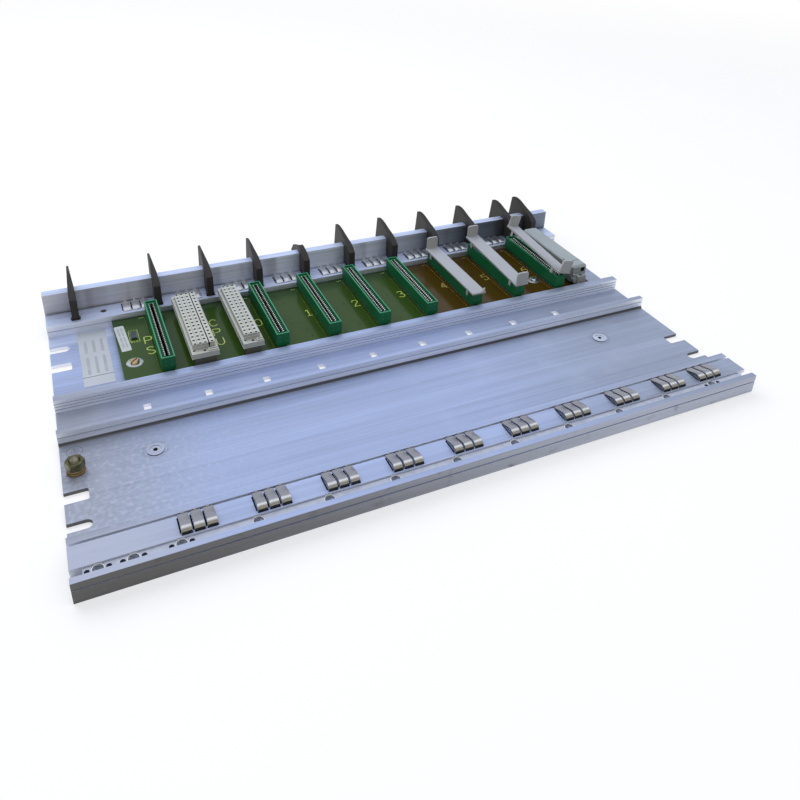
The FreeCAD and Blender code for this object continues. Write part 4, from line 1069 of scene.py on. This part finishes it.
@dataclass
class SlotConnector(Assembly):
    """A two-row connector: a rimmed housing on a narrow foot, with combs and sprung contacts."""

    node: str
    rim: float = 1.0
    rim_height: float = 0.5
    recess: float = 1.2
    well: float = 9.0
    slot_half: float = 1.0
    contact_reach: float = 1.2
    contacts: int = 32
    contact_share: float = 0.5
    foot_height: float = 3.7
    foot_half: float = 2.9
    end_margin: float = 3.6

    def build(self) -> None:
        """Make the housing, the combs, the contacts and the row of pin tails."""
        self.low, self.high = low, high = node_box(self.node)
        self.middle = (low.x + high.x) / 2
        self.wall_in = (high.x - low.x) / 2 - self.rim
        self.start = low.y + self.end_margin
        self.end = high.y - self.end_margin
        self.pitch = (high.y - low.y - self.end_margin * 2) / self.contacts
        housing = self.shape(f"{self.node}_housing", "connector", "rim", "recess", "painted_shade")
        self.walls(housing)
        self.combs(housing)
        self.marks(housing)
        housing.done(self.node)
        self.springs()
        self.tails()

    def walls(self, housing: Shape) -> None:
        """Build the foot in the darker green of painted shade and the four walls, with a paler rim
        along the top.
        """
        low, high, x, half = self.low, self.high, self.middle, self.wall_in
        under = low.z + self.foot_height
        rim = high.z - self.rim_height
        housing.block((x - self.foot_half, low.y + 0.4, low.z),
                      (x + self.foot_half, high.y - 0.4, under), 2)
        for bottom, top, finish in ((under, rim, 0), (rim, high.z, 1)):
            housing.block((low.x, low.y, bottom), (x - half, high.y, top), finish)
            housing.block((x + half, low.y, bottom), (high.x, high.y, top), finish)
            for near, far in ((low.y, low.y + self.rim), (high.y - self.rim, high.y)):
                housing.block((x - half, near, bottom), (x + half, far, top), finish)
        housing.block((low.x + 0.2, low.y + 0.2, under), (high.x - 0.2, high.y - 0.2, under + 0.4))

    def combs(self, housing: Shape) -> None:
        """Fill the recess with its floor and comb ticks in the darker green of painted shade, and the
        well's bottom and contact cells in near-black painted shade.
        """
        x, half = self.middle, self.wall_in
        near, far = self.low.y + self.rim, self.high.y - self.rim
        floor = self.high.z - self.recess
        bottom = self.high.z - self.well
        housing.block((x - half, near, bottom - 1.0), (x + half, far, bottom), 3)
        housing.block((x - half, near, bottom), (x + half, self.start, floor), 2)
        housing.block((x - half, self.end, bottom), (x + half, far, floor), 2)
        edge = self.slot_half + self.contact_reach
        tick = self.pitch * 0.2
        for side in SIDES:
            housing.block((x + side * edge, self.start, bottom),
                          (x + side * half, self.end, floor - 0.5), 2)
            for index in range(self.contacts + 1):
                middle = self.start + self.pitch * index
                housing.block((x + side * (edge - 0.1), middle - tick, floor - 0.6),
                              (x + side * (half - 0.05), middle + tick, floor + 0.1), 2)
                housing.block((x + side * self.slot_half, middle - tick, bottom),
                              (x + side * edge, middle + tick, floor - 0.6), 3)

    def marks(self, housing: Shape) -> None:
        """Press the faint mould marks into the front end."""
        low, high = self.low, self.high
        for side in SIDES:
            x = self.middle + side * 2.2
            for level in (2.6, 6.8):
                housing.block((x - 0.6, low.y - 0.03, high.z - level - 0.8),
                              (x + 0.6, low.y + 0.3, high.z - level + 0.5), 1)

    def springs(self) -> None:
        """Make both rows of bowed contacts."""
        rows = self.shape(f"{self.node}_contacts", "contact")
        x, top = self.middle, self.high.z
        width = self.pitch * self.contact_share
        for side in SIDES:
            outer = x + side * (self.slot_half + self.contact_reach)
            bow = [(outer, top - 2.4), (outer - side * 0.05, top - 1.0)]
            bow += [(x + side * reach, top - drop)
                    for reach, drop in ((1.5, 0.6), (0.95, 1.4), (0.7, 3.2), (1.0, 6.5))]
            line = smooth_line(bow, 3)
            for index in range(self.contacts):
                near = self.start + self.pitch * (index + 0.5) - width / 2
                far = near + width
                for (ax, az), (bx, bz) in zip(line, line[1:]):
                    corners = [(ax, near, az), (bx, near, bz), (bx, far, bz), (ax, far, az)]
                    rows.panel(rows.loop(corners))
        bmesh.ops.remove_doubles(rows.mesh, verts=rows.mesh.verts, dist=0.001)
        rows.done(crease=70.0)

    def tails(self) -> None:
        """Make the row of pin tails beside the foot."""
        row = self.shape(f"{self.node}_tails", "contact")
        for side in SIDES:
            for index in range(self.contacts):
                place = self.start + self.pitch * (index + 0.5)
                row.block((self.middle + side * self.foot_half, place - 0.5, self.low.z),
                          (self.middle + side * (self.foot_half + 0.45), place + 0.5, self.low.z + 0.7))
        row.done()


@dataclass
class ProcessorSocket(Assembly):
    """A tall connector: a foot dark with painted shade, stepped end flanges and ribbed columns of
    lead-in holes.
    """

    node: str
    columns: int
    divided: bool
    edge: float = 0.25
    foot_height: float = 9.1
    foot_inset: float = 0.5
    foot_setback: float = 1.2
    base_height: float = 13.1
    base_margin: float = 1.9
    end_step: float = 5.2
    column_margin: float = 1.9
    column_pitch: float = 3.8
    row_pitch: float = 5.08
    rows: int = 16
    hole: float = 1.0
    point: float = 0.9

    def build(self) -> None:
        """Make the foot, the flanges, the body and the top with its holes."""
        self.low, self.high = low, high = node_box(self.node)
        self.left = low.x + self.base_margin
        self.right = high.x - self.base_margin
        self.front = low.y + self.end_step
        self.rear = high.y - self.end_step
        under = low.z + self.foot_height
        level = low.z + self.base_height
        block = self.shape(f"{self.node}_body", "socket", "painted_shade", "socket_foot")
        block.block((low.x, low.y, under), (high.x, high.y, level))
        block.block((self.left, self.front, level), (self.right, self.rear, high.z - 2.0))
        block.soften(self.edge)
        # The foot sits under the overhanging body and takes its dark finish as painted shade.
        block.block((self.left + self.foot_inset, low.y + self.foot_setback, low.z),
                    (self.right - self.foot_inset, high.y - self.foot_setback, under), 2)
        first = self.left + self.column_margin
        lines = [first + self.column_pitch * step for step in range(self.columns)]
        if self.divided:
            lines[-1] = self.right - self.column_margin
            split = (lines[-2] + lines[-1]) / 2
            # The groove between the last two columns is a strip of near-black painted shade.
            block.block((split - 0.4, self.front - 0.04, level),
                        (split + 0.4, self.rear + 0.04, high.z + 0.04), 1)
        self.ridges(block, lines)
        self.holes(block, lines)
        self.flanges(block, level)
        block.done(self.node)

    def ridges(self, block: Shape, lines: Sequence[float]) -> None:
        """Cover the body with one raised strip per column, pointed at both ends."""
        edges = [self.left] + [(a + b) / 2 for a, b in zip(lines, lines[1:])] + [self.right]
        near, far = self.front, self.rear
        for middle, start, end in zip(lines, edges, edges[1:]):
            a, b = start + 0.12, end - 0.12
            outline = [(a, near + self.point), (middle, near), (b, near + self.point),
                       (b, far - self.point), (middle, far), (a, far - self.point)]
            block.prism(outline, 2, self.high.z - 2.1, self.high.z)

    def holes(self, block: Shape, lines: Sequence[float]) -> None:
        """Add the contact holes as near-black discs of painted shade, with their pale lead-in rings."""
        top, radius = self.high.z, self.hole
        ring = [(radius + 0.3, top - 0.02), (radius + 0.15, top + 0.07), (radius, top + 0.02)]
        disc = [(radius, top + 0.02), (0.0, top + 0.02)]
        first = (self.low.y + self.high.y) / 2 - self.row_pitch * (self.rows - 1) / 2
        for x in lines:
            for row in range(self.rows):
                centre = (x, first + row * self.row_pitch)
                block.turned(ring, centre, 12)
                block.turned(disc, centre, 12, 1)

    def flanges(self, block: Shape, level: float) -> None:
        """Dress both end flanges with a raised rail, a round hole and a corner notch; the rail's
        groove, the hole and the notch are near-black painted shade.
        """
        low, high = self.low, self.high
        middle = (low.x + high.x) / 2
        for near, far, inner in ((low.y, low.y + self.end_step, 1),
                                 (high.y, high.y - self.end_step, -1)):
            start, end = sorted((near + inner * 0.9, far - inner * 0.4))
            block.block((middle + 2.4, start, level), (high.x - 0.4, end, level + 0.9))
            block.block((middle + 3.4, start + 1.4, level + 0.85),
                        (high.x - 0.3, start + 2.1, level + 0.93), 1)
            centre = (middle - 0.2, (start + end) / 2)
            block.turned([(1.6, level + 0.01), (1.5, level + 0.2), (1.15, level + 0.2)], centre, 20)
            block.turned([(1.15, level + 0.15), (0.0, level + 0.15)], centre, 20, 1)
            notch = (low.x + 2.3, far - inner * 0.4)
            block.turned([(1.0, level + 0.04), (0.0, level + 0.04)], notch, 16, 1)


@dataclass
class CoverSet(Assembly):
    """The dust covers, and the cap over the interface connector."""

    edge: float = 0.35
    latch_edge: float = 0.25

    def build(self) -> None:
        """Make the covers, the cap with its hood and the latch."""
        for index in (4, 5, 6):
            self.dress(f"dust_cover_{index}", f"dust_cover_{index}_strip", "cover", self.edge)
        cap = self.shape("interface_cap_shell", "cap", "painted_shade")
        cap.take("interface_cap")
        cap.soften(self.edge)
        low, high = node_box("interface_cap")
        left, front, top = low.x, low.y, high.z
        seam = front + 6.0 + 9.5
        middle = (low.x + high.x) / 2
        half = (high.x - low.x) / 2
        # The seam grooves and the hood's window are near-black painted shade.
        cap.block((left + 1.0, seam, top - 0.3), (high.x - 1.2, seam + 0.5, top + 0.02), 1)
        cap.block((left + 1.0, seam, top - 0.3), (left + 1.4, seam + 7.0, top + 0.02), 1)
        cap.block((left + 1.2, front + 5.0, top - 9.0), (high.x - 1.2, front + 6.4, top - 1.3))
        cap.block((middle + half * 0.18, front + 4.9, top - 6.2),
                  (middle + half * 0.66, front + 5.3, top - 2.4), 1)
        cap.done("interface_cap")
        latch = self.shape("interface_cap_latch", "cap")
        outline = smooth_line([(-2.6, 0.0), (-2.4, 1.9), (0.0, 2.7), (2.4, 1.9), (2.6, 0.0),
                               (2.4, -1.9), (0.0, -2.7), (-2.4, -1.9)], 4)
        spots = [(left + 2.6 + px, low.z + 3.6 + pz) for px, pz in outline]
        latch.prism(spots, 1, front + 1.2, front + 5.4)
        latch.block((left + 0.6, front + 2.0, low.z + 5.4), (left + 2.2, front + 4.6, top - 7.0))
        latch.soften(self.latch_edge)
        latch.done()
        self.recolour("interface_connector", "connector")


@dataclass
class FinRow(Assembly):
    """The guide fins over the rear flange."""

    count: int = 11
    edge: float = 0.35

    def build(self) -> None:
        """Round each fin and give it its finish."""
        for index in range(self.count):
            self.dress(f"guide_fin_{index}", f"guide_fin_{index}_blade", "fin", self.edge)


@dataclass
class SpringRow(Assembly):
    """One row of sprung contact combs."""

    row: str
    finish: str
    section: Sequence[Spot]
    painted_shade_sides: bool
    count: int = 10
    finger_width: float = 5.8
    finger_pitch: float = 7.25
    thickness: float = 0.4
    tip: float = 0.7
    roll: float = 0.3
    roll_drop: float = 0.18

    def build(self) -> None:
        """Make every comb of the row."""
        line = smooth_line(self.section, 5)
        for index in range(self.count):
            node = f"{self.row}_{index}"
            low, high = node_box(node)
            comb = self.shape(f"{node}_comb", self.finish, "painted_shade")
            level = high.z - max(z for _, z in self.section)
            outer = [(low.y + y, level + z) for y, z in line]
            inner = []
            for place, (y, z) in enumerate(outer):
                before = Vector(outer[max(place - 1, 0)])
                after = Vector(outer[min(place + 1, len(outer) - 1)])
                along = (after - before).normalized()
                inner.append((y + along.y * self.thickness, z - along.x * self.thickness))
            fingers = round((high.x - low.x - self.finger_width) / self.finger_pitch) + 1
            for finger in range(fingers):
                start = low.x + self.finger_pitch * finger
                self.finger(comb, outer, inner, start)
                self.details(comb, start, low.y, level)
            comb.block((low.x, high.y - self.thickness, low.z), (high.x, high.y, low.z + 1.5))
            comb.done(node, crease=50.0)

    def details(self, comb: Shape, start: float, front: float, level: float) -> None:
        """Add the hook's curled tip and a strip of painted shadow in the slit along a finger's left
        side.

        Args:
            comb: The piece.
            start: Left side of the finger.
            front: Front end of the finger.
            level: Height of the ledge.
        """
        middle = start + self.finger_width / 2
        comb.block((middle - 0.9, front + 15.7, level - 0.6),
                   (middle + 0.9, front + 16.9, level + self.tip))
        left = start - 0.9
        comb.block((left, front + 1.5, level + 0.01), (left + 0.85, front + 13.5, level + 0.05), 1)

    def finger(self, comb: Shape, outer: Sequence[Spot], inner: Sequence[Spot],
               start: float) -> None:
        """Sweep one finger's section across its width, with its two long edges rolled down.

        Args:
            comb: The piece.
            outer: Upper line of the section.
            inner: Lower line of the section.
            start: Left side of the finger.
        """
        width = self.finger_width
        stations = ((0.0, self.roll_drop), (self.roll, 0.0), (width - self.roll, 0.0),
                    (width, self.roll_drop))
        rows = [comb.loop((start + across, y, z - drop) for y, z in outer)
                for across, drop in stations]
        for a, b in zip(rows, rows[1:]):
            comb.bridge(a, b, closed=False)
        left, right = [comb.loop((start + across, y, z) for y, z in inner)
                       for across in (0.0, width)]
        for step in range(len(inner) - 1):
            comb.panel([left[step], right[step], right[step + 1], left[step + 1]])
        # Where the flag is set, the finger's long sides take the near-black painted shade.
        comb.bridge(rows[0], left, int(self.painted_shade_sides), closed=False)
        comb.bridge(rows[-1], right, int(self.painted_shade_sides), closed=False)
        for end in (0, -1):
            comb.panel([row[end] for row in rows] + [right[end], left[end]])


@dataclass
class EarthTerminal(Assembly):
    """The earth stud with its washers and nut."""

    thread_pitch: float = 1.0
    thread_depth: float = 0.35
    washer_hole: float = 3.1
    washer_edge: float = 0.3
    nut_steps: int = 60
    nut_corner: float = 1.1547

    def build(self) -> None:
        """Make the stud, the washers and the nut."""
        low, high = node_box("earth_stud")
        centre = ((low.x + high.x) / 2, (low.y + high.y) / 2)
        radius = (high.x - low.x) / 2
        root, pitch = radius - self.thread_depth, self.thread_pitch
        stud = self.shape("earth_stud_thread", "stud")
        profile = [(root, low.z)]
        level = low.z
        while level + pitch < high.z - 1.2:
            profile += [(radius, level + pitch / 2), (root, level + pitch)]
            level += pitch
        profile += [(radius - 0.3, high.z - 0.9), (radius - 0.9, high.z - 0.25),
                    (radius * 0.5, high.z), (0.0, high.z)]
        stud.turned(profile, centre, 36)
        stud.done("earth_stud", crease=60.0)
        self.washer("earth_washer", "earth_washer_disc", centre, False)
        self.washer("earth_spring_washer", "earth_spring_washer_ring", centre, True)
        self.nut(centre)

    def washer(self, node: str, name: str, centre: Spot, split: bool) -> None:
        """Make one washer.

        Args:
            node: The CAD node.
            name: The piece's name.
            centre: Middle of the stud.
            split: Whether an end of the ring stands out.
        """
        low, high = node_box(node)
        hole, edge = self.washer_hole, self.washer_edge
        outer = (high.x - low.x) / 2
        ring = self.shape(name, "bronze")
        ring.turned([(hole, low.z), (outer - edge, low.z), (outer, low.z + edge),
                     (outer, high.z - edge), (outer - edge, high.z), (hole, high.z), (hole, low.z)],
                    centre, 48)
        if split:
            left, front = centre[0] - outer, centre[1] - outer
            ring.block((left, front - 0.02, low.z + 0.2), (left + 0.5, front + 0.6, high.z - 0.2))
        ring.done(node, crease=50.0)

    def nut(self, centre: Spot) -> None:
        """Make the hexagon nut with chamfered corners."""
        low, high = node_box("earth_nut")
        nut = self.shape("earth_nut_hexagon", "brass")
        flat = (high.y - low.y) / 2
        angles = [math.tau * step / self.nut_steps for step in range(self.nut_steps)]
        rings = []
        for level, inset in ((low.z, 0.35), (low.z + 0.5, 0.0), (high.z - 0.6, 0.0), (high.z, 0.45)):
            limit = flat * self.nut_corner - inset
            sides = [flat / math.cos((angle % (math.pi / 3)) - math.pi / 6) for angle in angles]
            rings.append(nut.level_loop((around(centre, min(side, limit), angle)
                                         for side, angle in zip(sides, angles)), level))
        for radius, level in ((3.6, high.z), (3.05, high.z - 0.5), (3.05, low.z)):
            rings.append(nut.level_loop((around(centre, radius, angle) for angle in angles), level))
        for lower, upper in zip(rings, rings[1:] + rings[:1]):
            nut.bridge(lower, upper)
        nut.done("earth_nut", crease=28.0)


@dataclass
class Studio(Assembly):
    """The pale floor, the soft lamps and the camera at the photograph's angle."""

    yaw: float = 25.72425
    pitch: float = 27.09840
    roll: float = 2.451486
    place: Point = (-0.212209, -0.457722, 0.353785)
    lens: float = 34.579
    shift: float = -0.1875
    white: Colour = (1.0, 1.0, 1.0)
    front_sky: Colour = (0.57, 0.57, 0.57)
    rear_sky: Colour = (0.76, 0.8, 0.9)

    def build(self) -> None:
        """Set up the floor, the world, the lamps and the camera."""
        self.floor()
        self.world()
        self.lamp("soft_key", (-0.5, 0.85, 1.15), 1.3, 13.0, (0.93, 0.96, 1.0))
        self.lamp("soft_fill", (0.9, -0.9, 1.3), 1.4, 5.0, (1.0, 0.98, 0.95))
        self.camera()

    def floor(self) -> None:
        """Lay a wide round floor below the object."""
        data = bpy.data.meshes.new("studio_floor")
        mesh = bmesh.new()
        bmesh.ops.create_circle(mesh, cap_ends=True, radius=9.0, segments=96)
        mesh.transform(Matrix.Translation((0.0, 0.0, -0.0002)))
        mesh.to_mesh(data)
        mesh.free()
        data.materials.append(self.finishes["floor"])
        floor = put("studio_floor", data)

    def world(self) -> None:
        """Give the world a soft sky that is bright behind and above, dimmer in front."""
        world = bpy.data.worlds.new("studio_world")
        bpy.context.scene.world = world
        bench = Bench(world)
        _, y, z = bench.axes(bench.node("ShaderNodeTexCoord", {}, {}, "Generated"))
        behind = (y * 0.6 + z * 0.5).step_up(-0.5, 0.6)
        seen = bench.node("ShaderNodeLightPath", {}, {}, "Is Camera Ray")
        colour = bench.coat(self.front_sky, (behind, self.rear_sky), (seen, self.white))
        light = bench.node("ShaderNodeBackground", {}, {"Color": colour, "Strength": 1.0})
        bench.close(light, "ShaderNodeOutputWorld")

    def lamp(self, name: str, place: Point, size: float, power: float, colour: Colour) -> None:
        """Hang one soft lamp that looks at the object.

        Args:
            name: The lamp's name.
            place: Where it hangs.
            size: Edge of its square face.
            power: Its power in watts.
            colour: Its colour.
        """
        data = bpy.data.lights.new(name, "AREA")
        data.size = size
        data.energy = power
        data.color = colour
        lamp = put(name, data)
        lamp.visible_glossy = False
        lamp.location = place
        lamp.rotation_euler = (-Vector(place)).to_track_quat("-Z", "Y").to_euler()

    def camera(self) -> None:
        """Set the camera where the photograph was taken."""
        yaw, pitch, roll = (math.radians(angle) for angle in (self.yaw, self.pitch, self.roll))
        ahead = Vector((math.cos(pitch) * math.sin(yaw), math.cos(pitch) * math.cos(yaw),
                        -math.sin(pitch)))
        level = Vector((math.cos(yaw), -math.sin(yaw), 0.0))
        upward = level.cross(ahead)
        right = level * math.cos(roll) + upward * math.sin(roll)
        over = upward * math.cos(roll) - level * math.sin(roll)
        turn = Matrix((right, over, -ahead)).transposed().to_4x4()
        data = bpy.data.cameras.new("photo_camera")
        data.lens = self.lens
        data.sensor_fit = "HORIZONTAL"
        data.sensor_width = 36.0
        data.shift_y = self.shift
        data.clip_start = 0.01
        data.clip_end = 50.0
        camera = put("photo_camera", data)
        camera.matrix_world = Matrix.Translation(self.place) @ turn
        bpy.context.scene.camera = camera


LOWER_SECTION = ((0.3, -1.2), (0.2, 0.5), (0.7, 1.9), (2.2, 3.0), (4.2, 3.5), (6.4, 3.2), (8.8, 2.5),
                 (11.2, 1.7), (13.4, 1.05), (15.0, 0.75), (15.75, 0.4), (15.95, -0.6), (15.95, -3.2))
UPPER_SECTION = ((0.3, -1.2), (0.25, 0.1), (0.9, 0.9), (2.8, 1.65), (5.0, 1.9), (8.0, 1.6),
                 (11.0, 1.0), (13.4, 0.6), (15.0, 0.4), (15.7, 0.2), (15.85, -0.8), (15.85, -3.2))
CONNECTORS = ("supply_connector", *(f"slot_connector_{index}" for index in range(7)))


def main() -> None:
    """Dress the frame."""
    logging.basicConfig(level=logging.INFO, format="%(message)s")
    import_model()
    bpy.context.scene.view_settings.view_transform = "Standard"
    finishes = {key: finish.make() for key, finish in FINISHES.items()}
    assemblies = (
        Profile(finishes),
        ClampBar(finishes),
        BusBoard(finishes),
        *(SlotConnector(finishes, node) for node in CONNECTORS),
        ProcessorSocket(finishes, "wide_socket", 4, True),
        ProcessorSocket(finishes, "narrow_socket", 3, False),
        CoverSet(finishes),
        FinRow(finishes),
        SpringRow(finishes, "lower_spring", "spring", LOWER_SECTION, True),
        SpringRow(finishes, "upper_spring", "ledge_spring", UPPER_SECTION, False),
        EarthTerminal(finishes),
        Studio(finishes),
    )
    for assembly in assemblies:
        assembly.build()


if __name__ == "__main__":
    main()
